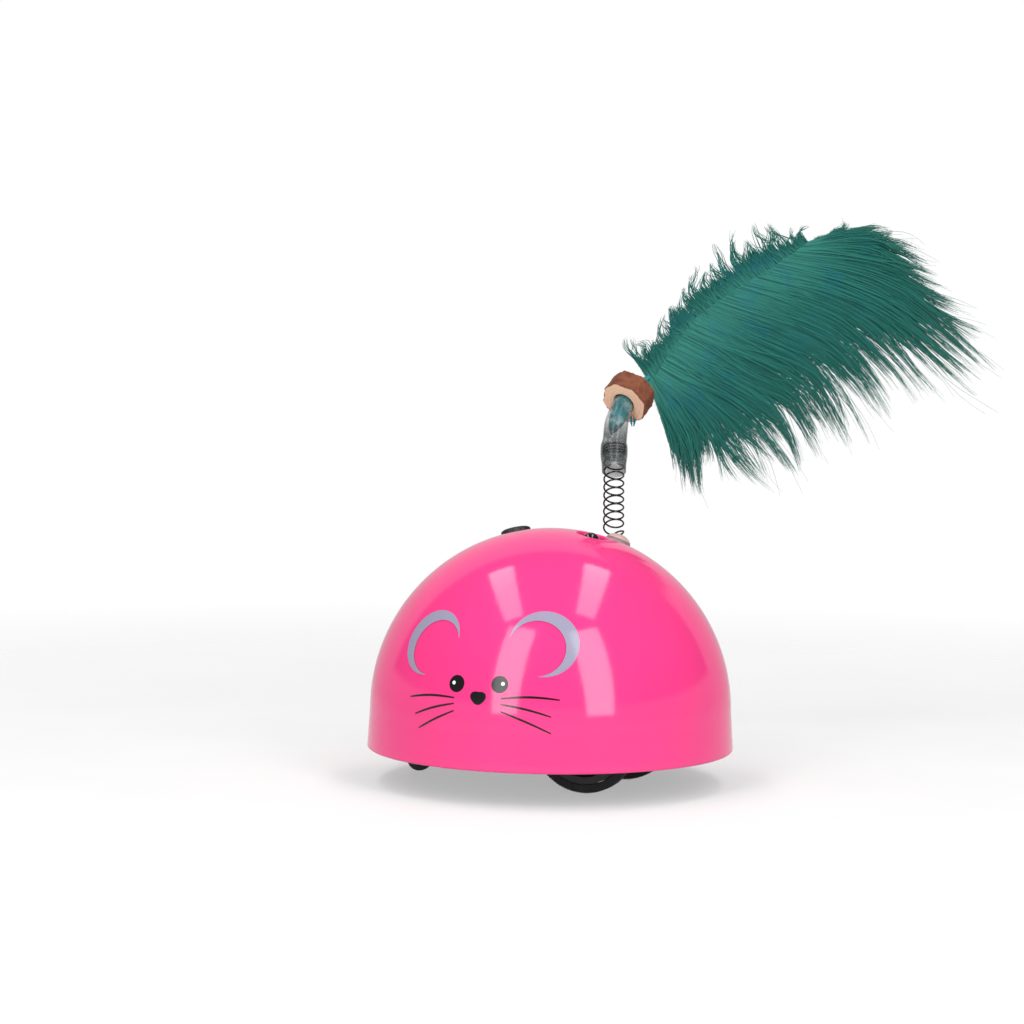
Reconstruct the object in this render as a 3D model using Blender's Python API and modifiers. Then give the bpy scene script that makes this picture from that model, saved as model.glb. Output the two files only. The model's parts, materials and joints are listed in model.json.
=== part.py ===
"""Robot mouse: a cat toy that drives itself about under a domed shell and waves a feather tail.

The dome shell closes over a round base plate. A small motor turns the drive axle through two
compound gears, a caster carries the front, and a feather wand stands on a coil spring.

Frame: +Z is up along the dome's axis and the origin is on that axis, on the underside of the
base plate. The toy rolls towards -X. The mouse face is printed on the -Y side of the dome.
Every size below is in millimetres; MM turns it into metres where a mesh is made.
"""

import math

import bmesh
import bpy
import numpy as np
from mathutils import Matrix, Vector

MM = 0.001
GAP = 0.3                    # clearance between pieces that rest on or fit into each other
ROUND_STEPS = 20             # segments of an ordinary small round piece

# Dome
DOME_RADIUS = 59.5
SKIRT_RADIUS = 60.3          # the skirt flares slightly down to the rim
SPHERE_Z = 11.3
RIM_Z = -1.5
WALL = 2.2
DOME_STEPS = 48
ARC_STEPS = 8
INNER_RADIUS = DOME_RADIUS - WALL
TRIM_RADIUS = DOME_RADIUS - WALL / 2    # ribs and posts stop inside the dome's wall

# Base plate and the screws that hold it in the dome
BASE_RADIUS = 57.2
BASE_THICKNESS = 2.2
POST_RING = 47.0             # distance of the screw posts from the axis
POST_ANGLES = (50, 130, 230, 310)
POST_RADIUS = 3.3
PAD_TOP = 4.0
PAD_RADIUS = 4.6
GATE_RING = (3.0, 3.4, 0.3)  # the groove round the moulding gate: inner, outer radius and depth

# Rolling gear
GROUND_Z = -13.0
DRIVE_RADIUS = 18.4
AXLE_X = 19.5
AXLE_Z = GROUND_Z + DRIVE_RADIUS
AXLE_RADIUS = 1.5
WHEEL_OUTER_Y = 18.0
WHEEL_INNER_Y = 14.5
HUB_RADIUS = 15.5
HUB_BOSS = 2.8
KNURLS = 72
KNURL_DEPTH = 0.4
CASTER_RADIUS = 4.3
SWIVEL_X = -45.0
CASTER_TRAIL = 3.0

# Gears: every wheel and every pinion is the same size, so each stage gears down three times
MODULE = 0.6
WHEEL_TEETH = 30
PINION_TEETH = 10
PRESSURE_ANGLE = math.radians(20)
CENTRE_DISTANCE = MODULE * (WHEEL_TEETH + PINION_TEETH) / 2 + 0.12
LOWER_STAGE_ANGLE = 110      # from the drive axle up to the lower compound gear
UPPER_STAGE_ANGLE = 70
MOTOR_ANGLE = 90
PLATE_INNER_Y = 10.0
PLATE_OUTER_Y = 11.5

# Motor
CAN_RADIUS = 10.05
CAN_FLAT = 7.55              # half the height across the flats
CAN_BACK_Y = -21.5
CAN_FRONT_Y = 3.5

# Battery bay
CELL_RADIUS = 5.2
CELL_LENGTH = 43.7
CELL_XS = (-13.6, -24.4)
CELL_Z = 7.2
BAY_LOW = (-30.6, -25.0, -1.0)
BAY_HIGH = (-7.4, 25.0, 13.1)
DOOR_THICKNESS = 1.5

# Circuit board
BOARD_LOW = (-38.0, -21.0, 17.0)
BOARD_HIGH = (-6.0, 21.0, 18.6)
BOARD_POSTS = ((-34.8, -17.0), (-34.8, 17.0))
BOARD_PEG = 1.0

# Features on top of the dome: where they stand in plan, and their radii
BUTTON_XY = (-16.0, 9.0)
BUTTON_RADIUS = 5.0
SENSOR_XY = (12.4, 4.8)
SENSOR_HOLE = 4.5
PLUG_XY = (14.7, 21.5)
PLUG_RADIUS = 4.25
PLUG_STEM = 3.3

# Tail: points below are given as distance along an upright plane through TAIL_XY, turned
# TAIL_TURN from +X, distance behind it, and height. The tail leans backwards as it rises.
TAIL_XY = (13.5, 21.0)
TAIL_TURN = 24.0
SPRING_AXIS = ((-0.5, 0.6, 69.0), (-0.5, 4.0, 72.9), (-0.45, 8.1, 78.0), (-0.4, 12.2, 83.1),
               (-0.35, 16.2, 88.1), (-0.35, 17.8, 90.6), (-0.35, 19.0, 92.9), (-0.3, 20.7, 96.5))
SPRING_COIL = 3.3            # radius of the wire's centreline
SPRING_WIRE = 0.25
SPRING_OPEN_TURNS = 9.15     # as far as the last point but one of the axis
SPRING_CLOSED_TURNS = 4
CLOSED_COIL = 3.7
TUBE_WALL = 0.3
TUBE_RESOLUTION = 4
TUBE_ROUTE = ((-0.35, 16.2, 88.1, 4.1), (-0.35, 17.8, 90.6, 4.2), (-0.35, 19.0, 92.9, 4.5),
              (-0.3, 20.7, 96.5, 4.5), (-0.1, 21.5, 98.6, 4.1), (0.35, 23.1, 103.4, 4.1),
              (0.9, 24.6, 105.7, 3.9), (2.0, 27.0, 108.7, 3.8), (2.9, 29.0, 110.8, 3.7),
              (4.3, 31.2, 112.6, 3.6))
QUILL_ROUTE = ((-0.8, 22.3, 100.3, 0.4), (-0.1, 23.1, 103.5, 1.2), (0.9, 24.8, 106.2, 1.9),
               (2.4, 27.7, 109.6, 2.1), (4.3, 31.1, 112.6, 2.0), (6.5, 34.0, 115.3, 1.7),
               (9.2, 36.2, 117.6, 1.2), (11.6, 37.2, 119.6, 0.8))
BEAD_NEAR = (2.9, 29.0, 110.8)
BEAD_FAR = (6.5, 34.0, 115.3)
BEAD_RADIUS = 8.1
BEAD_BORE = 4.4
FEATHER_DEPTH = 37.5
FEATHER_THICKNESS = 0.6
FEATHER_OUTLINE = ((13.0, 120.4), (2.1, 130.0), (18.5, 150.0), (40.0, 170.5), (67.0, 175.0),
                   (95.0, 170.5), (115.5, 149.5), (128.5, 124.0), (107.0, 109.5), (82.0, 95.5),
                   (51.0, 79.5), (17.7, 78.2), (14.8, 102.7))


# ---------------------------------------------------------------- scene and materials

def clear_scene():
    """Remove whatever the file holds."""
    for old in list(bpy.data.objects):
        bpy.data.objects.remove(old, do_unlink=True)


def new_collection(name):
    """A collection in the scene."""
    collection = bpy.data.collections.new(name)
    bpy.context.scene.collection.children.link(collection)
    return collection


clear_scene()
PARTS = new_collection("robot_mouse")
CUTTERS = new_collection("cutters")

LOOKS = {
    "pink": ((1.0, 0.07, 0.26), 0.12, 0.0),
    "black": ((0.012, 0.012, 0.014), 0.35, 0.0),
    "grey": ((0.25, 0.26, 0.27), 0.5, 0.0),
    "white": ((0.8, 0.8, 0.78), 0.45, 0.0),
    "rubber": ((0.02, 0.022, 0.025), 0.7, 0.0),
    "lens": ((0.03, 0.004, 0.01), 0.05, 0.0),
    "steel": ((0.55, 0.55, 0.56), 0.25, 1.0),
    "brass": ((0.75, 0.55, 0.25), 0.3, 1.0),
    "copper": ((0.7, 0.3, 0.15), 0.35, 1.0),
    "board": ((0.02, 0.2, 0.08), 0.4, 0.0),
    "cell": ((0.05, 0.12, 0.35), 0.3, 0.0),
    "beige": ((0.72, 0.5, 0.42), 0.45, 0.0),
    "clear": ((0.55, 0.6, 0.6), 0.1, 0.0),
    "wood": ((0.7, 0.45, 0.28), 0.6, 0.0),
    "teal": ((0.02, 0.28, 0.25), 0.8, 0.0),
    "red": ((0.6, 0.02, 0.02), 0.45, 0.0),
}


def make_material(name, colour, roughness, metallic):
    """A Principled material with one colour and finish."""
    material = bpy.data.materials.new(name)
    material.use_nodes = True
    shader = material.node_tree.nodes["Principled BSDF"]
    shader.inputs["Base Color"].default_value = (*colour, 1.0)
    shader.inputs["Roughness"].default_value = roughness
    shader.inputs["Metallic"].default_value = metallic
    return material


MATERIALS = {name: make_material(name, *look) for name, look in LOOKS.items()}


# ---------------------------------------------------------------- building tools

def keep(name, mesh, look, matrix=None):
    """Put a mesh in the scene as a part, or as a hidden helper when it has no look."""
    obj = bpy.data.objects.new(name, mesh)
    if look is None:
        CUTTERS.objects.link(obj)
        obj.hide_render = True
        obj.display_type = "WIRE"
    else:
        PARTS.objects.link(obj)
        mesh.materials.append(MATERIALS[look])
        mesh.shade_smooth()
        mesh.set_sharp_from_angle(angle=math.radians(35))
    if matrix is not None:
        obj.matrix_world = matrix
    return obj


def mesh_from(bm, name):
    """Turn a bmesh in millimetres into a mesh in metres."""
    bmesh.ops.scale(bm, vec=(MM, MM, MM), verts=bm.verts)
    mesh = bpy.data.meshes.new(name)
    bm.to_mesh(mesh)
    bm.free()
    return mesh


def frame_along(point, axis):
    """The matrix, in metres, that puts a piece's origin at point and its Z along axis."""
    turn = Vector((0, 0, 1)).rotation_difference(Vector(axis)).to_matrix().to_4x4()
    return Matrix.Translation(Vector(point) * MM) @ turn


def block(name, low, high, look=None):
    """An upright box between two corners."""
    bm = bmesh.new()
    bmesh.ops.create_cube(bm, size=1.0)
    low, high = Vector(low), Vector(high)
    bmesh.ops.scale(bm, vec=high - low, verts=bm.verts)
    bmesh.ops.translate(bm, vec=(low + high) / 2, verts=bm.verts)
    return keep(name, mesh_from(bm, name), look)


def rod(name, start, end, radius, look=None, steps=ROUND_STEPS):
    """A solid cylinder between two points."""
    start, end = Vector(start), Vector(end)
    bm = bmesh.new()
    bmesh.ops.create_cone(bm, cap_ends=True, segments=steps, radius1=radius, radius2=radius,
                          depth=(end - start).length)
    return keep(name, mesh_from(bm, name), look, frame_along((start + end) / 2, end - start))


def turned(name, profile, look=None, point=(0, 0, 0), axis=(0, 0, 1), steps=ROUND_STEPS):
    """A profile of (radius, height) turned about axis through point.

    The profile runs down its outer side. It closes on itself unless it ends on the axis.
    """
    corners = [(radius * MM, 0.0, height * MM) for radius, height in profile]
    edges = [(i, i + 1) for i in range(len(corners) - 1)]
    if profile[0][0] > 0:
        edges.append((len(corners) - 1, 0))
    mesh = bpy.data.meshes.new(name)
    mesh.from_pydata(corners, edges, [])
    obj = keep(name, mesh, look, frame_along(point, axis))
    screw = obj.modifiers.new("turn", "SCREW")
    screw.steps = steps
    screw.render_steps = steps
    screw.use_merge_vertices = True
    screw.merge_threshold = 0.000001
    screw.use_smooth_shade = look is not None
    return obj


def ring(name, inner, outer, low, high, look, point, axis, steps=ROUND_STEPS):
    """A plain ring or bush between two heights along its axis."""
    profile = [(outer, high), (outer, low), (inner, low), (inner, high)]
    return turned(name, profile, look, point, axis, steps)


def combine(obj, other, operation):
    """Add an exact Boolean of another object."""
    boolean = obj.modifiers.new(other.name, "BOOLEAN")
    boolean.operation = operation
    boolean.solver = "EXACT"
    boolean.object = other


def cut(obj, *cutters):
    """Take each cutter away from the object."""
    for cutter in cutters:
        combine(obj, cutter, "DIFFERENCE")


def join(obj, *pieces):
    """Fuse each helper piece onto the object."""
    for piece in pieces:
        combine(obj, piece, "UNION")


def curve_to_mesh(curve_object, name, look, matrix=None):
    """Replace a curve object by a welded mesh of the same shape."""
    depsgraph = bpy.context.evaluated_depsgraph_get()
    mesh = bpy.data.meshes.new_from_object(curve_object.evaluated_get(depsgraph))
    bpy.data.objects.remove(curve_object, do_unlink=True)
    bm = bmesh.new()
    bm.from_mesh(mesh)
    bmesh.ops.remove_doubles(bm, verts=bm.verts, dist=0.000001)
    bmesh.ops.recalc_face_normals(bm, faces=bm.faces)
    bm.to_mesh(mesh)
    bm.free()
    mesh.materials.clear()
    return keep(name, mesh, look, matrix)


def flat_solid(name, loops, low, high, look=None, matrix=None):
    """A plate: closed outlines, the first outer and the rest holes, from height low to high."""
    curve = bpy.data.curves.new(name, "CURVE")
    curve.dimensions = "2D"
    curve.fill_mode = "BOTH"
    curve.extrude = (high - low) / 2 * MM
    for loop in loops:
        spline = curve.splines.new("POLY")
        spline.points.add(len(loop) - 1)
        for point, (x, y) in zip(spline.points, loop):
            point.co = (x * MM, y * MM, 0.0, 1.0)
        spline.use_cyclic_u = True
    guide = bpy.data.objects.new(name + "_outline", curve)
    CUTTERS.objects.link(guide)
    lift = Matrix.Translation((0, 0, (low + high) / 2 * MM))
    return curve_to_mesh(guide, name, look, matrix @ lift if matrix else lift)


def side_solid(name, loops, y_low, y_high, look=None):
    """A plate whose outline is given in X and Z, between two values of Y."""
    stand_up = Matrix.Rotation(math.radians(90), 4, "X")
    return flat_solid(name, loops, -y_high, -y_low, look, stand_up)


def wire_curve(name, points, radius, resolution=2):
    """A round POLY curve through points of (x, y, z) or (x, y, z, radius)."""
    curve = bpy.data.curves.new(name, "CURVE")
    curve.dimensions = "3D"
    curve.bevel_depth = radius * MM
    curve.bevel_resolution = resolution
    curve.use_fill_caps = True
    spline = curve.splines.new("POLY")
    spline.resolution_u = 1
    spline.points.add(len(points) - 1)
    for spot, (x, y, z, *own) in zip(spline.points, points):
        spot.co = (x * MM, y * MM, z * MM, 1.0)
        spot.radius = own[0] / radius if own else 1.0
    return curve


def wire(name, points, radius, look):
    """A wire kept as a curve object."""
    curve = wire_curve(name, points, radius)
    curve.materials.append(MATERIALS[look])
    obj = bpy.data.objects.new(name, curve)
    PARTS.objects.link(obj)
    return obj


def wire_solid(name, points, radius, look=None, resolution=2):
    """The same as a welded mesh, for Booleans."""
    curve = wire_curve(name, points, radius, resolution)
    guide = bpy.data.objects.new(name + "_guide", curve)
    CUTTERS.objects.link(guide)
    return curve_to_mesh(guide, name, look)


def circle(x, y, radius, steps=ROUND_STEPS):
    """Points of a circle."""
    turns = [2 * math.pi * i / steps for i in range(steps)]
    return [(x + radius * math.cos(a), y + radius * math.sin(a)) for a in turns]


def smooth(points, steps, closed=False):
    """A Catmull-Rom curve through points, with so many steps between neighbours."""
    count = len(points)
    route = [np.array(p, dtype=float) for p in points]
    result = []
    for i in range(count if closed else count - 1):
        if closed:
            a, b, c, d = (route[(i + k) % count] for k in (-1, 0, 1, 2))
        else:
            b, c = route[i], route[i + 1]
            a = route[i - 1] if i else 2 * b - c
            d = route[i + 2] if i + 2 < count else 2 * c - b
        for step in range(steps):
            t = step / steps
            result.append(0.5 * (2 * b + (c - a) * t + (2 * a - 5 * b + 4 * c - d) * t ** 2
                                 + (3 * b - a - 3 * c + d) * t ** 3))
    if not closed:
        result.append(route[-1])
    return [tuple(float(v) for v in p) for p in result]


def dome_normal(x, y):
    """The outward direction of the dome where it is seen at x, y in plan."""
    return Vector((x, y, math.sqrt(DOME_RADIUS ** 2 - x * x - y * y))).normalized()


SPHERE = (0, 0, SPHERE_Z)


# ---------------------------------------------------------------- dome and base

def dome_arc(radius, start, end):
    """Points of a dome profile between two angles above the horizon."""
    angles = [start + (end - start) * i / ARC_STEPS for i in range(ARC_STEPS + 1)]
    points = []
    for angle in angles:
        across = 0.0 if abs(angle) == 90 else radius * math.cos(math.radians(angle))
        points.append((across, SPHERE_Z + radius * math.sin(math.radians(angle))))
    return points


def post_places():
    """The plan positions of the screw posts."""
    turns = [math.radians(a) for a in POST_ANGLES]
    return [(POST_RING * math.cos(a), POST_RING * math.sin(a)) for a in turns]


def dome_sleeve(name, direction, inner, outer, low):
    """A guide tube under the dome: a helper ring trimmed inside the wall."""
    sleeve = ring(name, inner, outer, low, DOME_RADIUS, None, SPHERE, direction)
    combine(sleeve, TRIM_BALL, "INTERSECT")
    return sleeve


def make_dome():
    """The pink shell with its holes, guide tubes and screw posts."""
    outer = dome_arc(DOME_RADIUS, 90, 0) + [(SKIRT_RADIUS, RIM_Z)]
    inner = [(SKIRT_RADIUS - WALL, RIM_Z)] + dome_arc(INNER_RADIUS, 0, 90)
    dome = turned("dome_shell", outer + inner, "pink", steps=DOME_STEPS)
    for index, (x, y) in enumerate(post_places()):
        post = rod(f"post_{index}", (x, y, PAD_TOP + GAP), (x, y, 52), POST_RADIUS)
        combine(post, TRIM_BALL, "INTERSECT")
        join(dome, post)
        cut(dome, rod(f"post_hole_{index}", (x, y, 0), (x, y, 16), 1.4, steps=12))
    button, sensor = dome_normal(*BUTTON_XY), dome_normal(*SENSOR_XY)
    join(dome, dome_sleeve("button_sleeve", button, 6.6, 7.8, 49.0))
    join(dome, dome_sleeve("sensor_sleeve", sensor, 4.85, 6.2, 50.0))
    for name, direction, radius in (("button_hole", button, BUTTON_RADIUS + 0.35),
                                    ("sensor_hole", sensor, SENSOR_HOLE),
                                    ("plug_hole", dome_normal(*PLUG_XY), PLUG_STEM + GAP)):
        centre = Vector(SPHERE)
        cut(dome, rod(name, centre + direction * 56.0, centre + direction * 62.0, radius))


def make_base():
    """The round base plate with the battery bay, pads, board posts and openings."""
    base = rod("base_plate", (0, 0, 0), (0, 0, BASE_THICKNESS), BASE_RADIUS, "black", DOME_STEPS)
    bay_low = Vector(BAY_LOW) + Vector((-1.6, -1.5, 2.0))
    bay_high = Vector(BAY_HIGH) + Vector((1.6, 1.5, 1.3))
    join(base, block("bay_wall", bay_low, bay_high))
    for index, (x, y) in enumerate(post_places()):
        join(base, rod(f"pad_{index}", (x, y, 1.0), (x, y, PAD_TOP), PAD_RADIUS))
        cut(base, rod(f"pad_hole_{index}", (x, y, -1), (x, y, 6), 1.6, steps=12))
        cut(base, rod(f"head_hole_{index}", (x, y, -1), (x, y, 2.1), 3.0, steps=16))
    for index, (x, y) in enumerate(BOARD_POSTS):
        join(base, rod(f"board_post_{index}", (x, y, 1.0), (x, y, BOARD_LOW[2] - GAP), 2.4,
                       steps=16))
        join(base, rod(f"board_peg_{index}", (x, y, 8), (x, y, BOARD_HIGH[2] + 0.9), BOARD_PEG,
                       steps=12))
    # boss and recess for the battery door's tab and screw
    join(base, rod("door_boss", (-3.6, 8, 1.0), (-3.6, 8, 9), 2.6, steps=16))
    cut(base, block("bay", BAY_LOW, BAY_HIGH))
    cut(base, block("tab_recess", (-8.0, 4.2, -1.0), (-0.8, 11.8, DOOR_THICKNESS + GAP)))
    cut(base, rod("door_hole", (-3.6, 8, 0), (-3.6, 8, 8), 1.1, steps=10))
    for index, (low, high) in enumerate(((-17.6, -13.6), (-28.4, -24.4))):
        cut(base, block(f"tab_slot_{index}", (low - 0.4, 23.9, 12.0), (high + 0.4, 25.0, 15.0)))
    # openings over the wheels and the axle gear
    reach = math.sqrt((DRIVE_RADIUS + 0.6) ** 2 - AXLE_Z ** 2) + 0.6
    for side in (-1, 1):
        near, far = sorted((side * (WHEEL_INNER_Y - 0.9), side * (WHEEL_OUTER_Y + 0.9)))
        cut(base, block(f"wheel_slot_{side + 1}", (AXLE_X - reach, near, -1),
                        (AXLE_X + reach, far, 4)))
    cut(base, block("gear_window", (AXLE_X - 9.8, -11.9, -1), (AXLE_X + 9.8, 11.9, 4)))
    cut(base, rod("swivel_hole", (SWIVEL_X, 0, -1), (SWIVEL_X, 0, 4), 2.5))
    for index, (x, y) in enumerate(COVER_PEGS):
        cut(base, rod(f"cover_hole_{index}", (x, y, -1), (x, y, 4), COVER_PEG + GAP, steps=12))
    for index, (x, y) in enumerate(FOOT_SCREWS):
        cut(base, rod(f"foot_hole_{index}", (x, y, -1), (x, y, 4), 1.5, steps=10))
    inner, outer, depth = GATE_RING
    cut(base, ring("gate_ring", inner, outer, -1, depth, None, (0, 0, 0), (0, 0, 1)))


def screw(name, x, y, under_head, tip, shank=1.1, head=2.5, head_height=1.5):
    """A round-headed screw with its tip up."""
    top, bottom = -under_head, -tip
    profile = [(0, top + head_height), (head * 0.6, top + head_height), (head, top + 0.5),
               (head, top), (shank, top), (shank, bottom + 1.0), (0, bottom)]
    turned(name, profile, "steel", (x, y, 0), (0, 0, -1), steps=12)


def make_screws():
    """Screws through the base plate."""
    for index, (x, y) in enumerate(post_places()):
        screw(f"dome_screw_{index + 1}", x, y, 1.8, 12.0)
    for index, (x, y) in enumerate(FOOT_SCREWS):
        screw(f"gearbox_screw_{index + 1}", x, y, -GAP, 6.0, 1.0, 2.1, 1.2)
    screw("door_screw", -3.6, 8.0, -GAP, 6.0, 0.8, 2.0, 1.0)


# ---------------------------------------------------------------- battery bay

def make_cells():
    """Two cells side by side, head to tail, with their contacts and contact springs."""
    half = CELL_LENGTH / 2
    for index, (x, facing) in enumerate(zip(CELL_XS, (1, -1))):
        profile = [(0, half + 0.8), (1.9, half + 0.8), (1.9, half), (CELL_RADIUS - 0.5, half),
                   (CELL_RADIUS, half - 0.5), (CELL_RADIUS, -half), (0, -half)]
        turned(f"battery_cell_{index + 1}", profile, "cell", (x, facing * 1.35, CELL_Z),
               (0, facing, 0), steps=ROUND_STEPS)
    bridge = block("battery_bridge", (-29.8, -24.7, 2.4), (-8.2, -24.2, 12.4), "steel")
    join(bridge, contact_spring("bridge_spring", CELL_XS[0], -1))
    for name, low, high in (("battery_contact_positive", -18.4, -8.6),
                            ("battery_contact_negative", -29.4, -19.6)):
        plate = block(name, (low, 24.2, 2.4), (high, 24.7, 12.4), "steel")
        tab = low + 0.8
        join(plate, block(name + "_tab", (tab + 0.4, 24.2, 11.0), (tab + 3.6, 24.7, 15.8)))
    join(plate, contact_spring("negative_spring", CELL_XS[1], 1))


def contact_spring(name, x, side):
    """A helper: the conical wire spring that presses on a cell's flat end."""
    turns, per_turn = 2.5, 6
    count = int(turns * per_turn)
    points = []
    for i in range(count + 1):
        share = i / count
        angle = 2 * math.pi * turns * share
        radius = 3.6 - 1.6 * share
        points.append((x + radius * math.cos(angle), side * (24.25 - 3.1 * share),
                       CELL_Z + radius * math.sin(angle)))
    return wire_solid(name, points, 0.22)


def make_door():
    """The battery door, flush with the underside, and its screw tab."""
    low = (BAY_LOW[0] + GAP, BAY_LOW[1] + GAP, 0.0)
    high = (BAY_HIGH[0] - GAP, BAY_HIGH[1] - GAP, DOOR_THICKNESS)
    door = block("battery_door", low, high, "black")
    join(door, block("door_tab", (-9.0, 4.5, 0.0), (-1.2, 11.5, DOOR_THICKNESS)))
    cut(door, rod("door_screw_hole", (-3.6, 8, -1), (-3.6, 8, 3), 1.1, steps=10))


# ---------------------------------------------------------------- gears and drive

def involute(angle):
    """The involute function."""
    return math.tan(angle) - angle


def gear_outline(teeth, phase):
    """The outline of a spur gear with one tooth centred on the angle phase, in degrees."""
    pitch = MODULE * teeth / 2
    base = pitch * math.cos(PRESSURE_ANGLE)
    tip, root = pitch + 0.85 * MODULE, pitch - 1.25 * MODULE
    slack = 0.11 / pitch
    half_at_pitch = math.pi / (2 * teeth) - slack

    def half(radius):
        return half_at_pitch + involute(PRESSURE_ANGLE) - involute(math.acos(base / radius))

    flank = [(root, half(base)), (tip, half(tip))]
    if teeth < 20:
        # few teeth: a rounder flank, slightly undercut below the base circle
        middle = (base + tip) / 2
        flank = [(root, half(base) * 0.8), (base, half(base)), (middle, half(middle)),
                 (tip, half(tip))]
    points = []
    for tooth in range(teeth):
        centre = math.radians(phase) + 2 * math.pi * tooth / teeth
        rising = [(r, centre - h) for r, h in flank]
        falling = [(r, centre + h) for r, h in reversed(flank)]
        points += [(r * math.cos(a), r * math.sin(a)) for r, a in rising + falling]
    return points


def moved(outline, centre):
    """An outline shifted to a centre."""
    return [(x + centre[0], y + centre[1]) for x, y in outline]


def polar(centre, angle, distance):
    """The point at an angle, in degrees, and a distance from a centre."""
    return (centre[0] + distance * math.cos(math.radians(angle)),
            centre[1] + distance * math.sin(math.radians(angle)))


AXLE_AT = (AXLE_X, AXLE_Z)
LOWER_AT = polar(AXLE_AT, LOWER_STAGE_ANGLE, CENTRE_DISTANCE)
UPPER_AT = polar(LOWER_AT, UPPER_STAGE_ANGLE, CENTRE_DISTANCE)
MOTOR_AT = polar(UPPER_AT, MOTOR_ANGLE, CENTRE_DISTANCE)
COVER_PEGS = ((AXLE_X - 13.2, 0.0), (AXLE_X + 13.2, 0.0))
COVER_PEG = 1.3
FOOT_SCREWS = ((AXLE_X + 18.7, -8.5), (AXLE_X + 18.7, 8.5))


def toothed(name, centre, teeth, phase, y_low, y_high, bore, look):
    """A gear that turns about Y, between two values of Y."""
    outline = moved(gear_outline(teeth, phase), centre)
    return side_solid(name, [outline, circle(*centre, bore, 12)], y_low, y_high, look)


def wheel_phase(angle_to_wheel):
    """The phase that puts a wheel's gap opposite the tooth of a pinion that drives it."""
    return angle_to_wheel + 180 + 180 / WHEEL_TEETH


def make_gears():
    """The axle gear, two compound gears and the motor pinion, in mesh at rest."""
    to_lower, to_upper, to_motor = LOWER_STAGE_ANGLE, UPPER_STAGE_ANGLE, MOTOR_ANGLE
    # a pinion's tooth points at the wheel it drives, so each wheel needs a gap there
    toothed("axle_gear", AXLE_AT, WHEEL_TEETH, wheel_phase(to_lower + 180), -8.0, -4.5,
            AXLE_RADIUS + 0.2, "white")
    lower = toothed("lower_compound_gear", LOWER_AT, WHEEL_TEETH, wheel_phase(to_upper + 180),
                    -0.5, 2.0, 1.25, "white")
    join(lower, toothed("lower_pinion", LOWER_AT, PINION_TEETH, to_lower + 180, -8.6, 0.5,
                        1.25, None))
    upper = toothed("upper_compound_gear", UPPER_AT, WHEEL_TEETH, wheel_phase(to_motor + 180),
                    5.2, 7.7, 1.25, "white")
    join(upper, toothed("upper_pinion", UPPER_AT, PINION_TEETH, to_upper + 180, -1.0, 6.0,
                        1.25, None))
    toothed("motor_pinion", MOTOR_AT, PINION_TEETH, to_motor + 180, 4.8, 8.4, 1.2, "brass")
    for name, (x, z) in (("lower_gear_pin", LOWER_AT), ("upper_gear_pin", UPPER_AT)):
        rod(name, (x, -PLATE_OUTER_Y, z), (x, PLATE_OUTER_Y, z), 1.0, "steel", 12)


def make_gearbox_plates():
    """Two upright plates that carry the axle, the gear pins and the motor."""
    left, right = AXLE_X - 13.7, AXLE_X + 13.7
    foot = BASE_THICKNESS + GAP
    motor_x, motor_z = MOTOR_AT
    lobe = [(AXLE_X - 4.7, foot), (AXLE_X - 4.7, 0.9), (AXLE_X + 4.7, 0.9), (AXLE_X + 4.7, foot)]
    for name, side, top in (("left", -1, motor_z + 10.5), ("right", 1, motor_z + 4.5)):
        outline = [(left + 2, foot)] + lobe + [(right, foot), (right, top - 3), (right - 3, top),
                                               (left + 3, top), (left, top - 3), (left, 16.0)]
        holes = [circle(*AXLE_AT, 3.3), circle(*LOWER_AT, 1.25, 12), circle(*UPPER_AT, 1.25, 12)]
        if side < 0:
            holes.append(can_outline(CAN_RADIUS + GAP, CAN_FLAT + GAP, motor_x, motor_z))
        else:
            holes.append(circle(motor_x, motor_z, 1.6, 16))
        y_low, y_high = sorted((side * PLATE_INNER_Y, side * PLATE_OUTER_Y))
        plate = side_solid(f"gearbox_plate_{name}", [outline] + holes, y_low, y_high, "grey")
        y_low, y_high = sorted((side * 5.6, side * (PLATE_OUTER_Y - 0.2)))
        join(plate, block(f"foot_{name}", (right - 1.0, y_low, foot + 0.1),
                          (right + 7.8, y_high, 8.0)))
        x, y = FOOT_SCREWS[0 if side < 0 else 1]
        cut(plate, rod(f"foot_thread_{name}", (x, y, 0), (x, y, 7.0), 1.3, steps=10))


def make_gear_cover():
    """The shallow tray under the axle gear."""
    tray = block("gear_cover", (AXLE_X - 15.9, -9.6, -1.5), (AXLE_X + 15.9, 9.6, -GAP), "black")
    join(tray, block("tray_bowl", (AXLE_X - 10.8, -9.6, -6.4), (AXLE_X + 10.8, 9.6, -1.0)))
    cut(tray, block("tray_hollow", (AXLE_X - 9.7, -8.6, -5.2), (AXLE_X + 9.7, 8.6, 0.5)))
    for index, (x, y) in enumerate(COVER_PEGS):
        join(tray, rod(f"tray_peg_{index}", (x, y, -1.0), (x, y, 3.0), COVER_PEG, steps=12))


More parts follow.
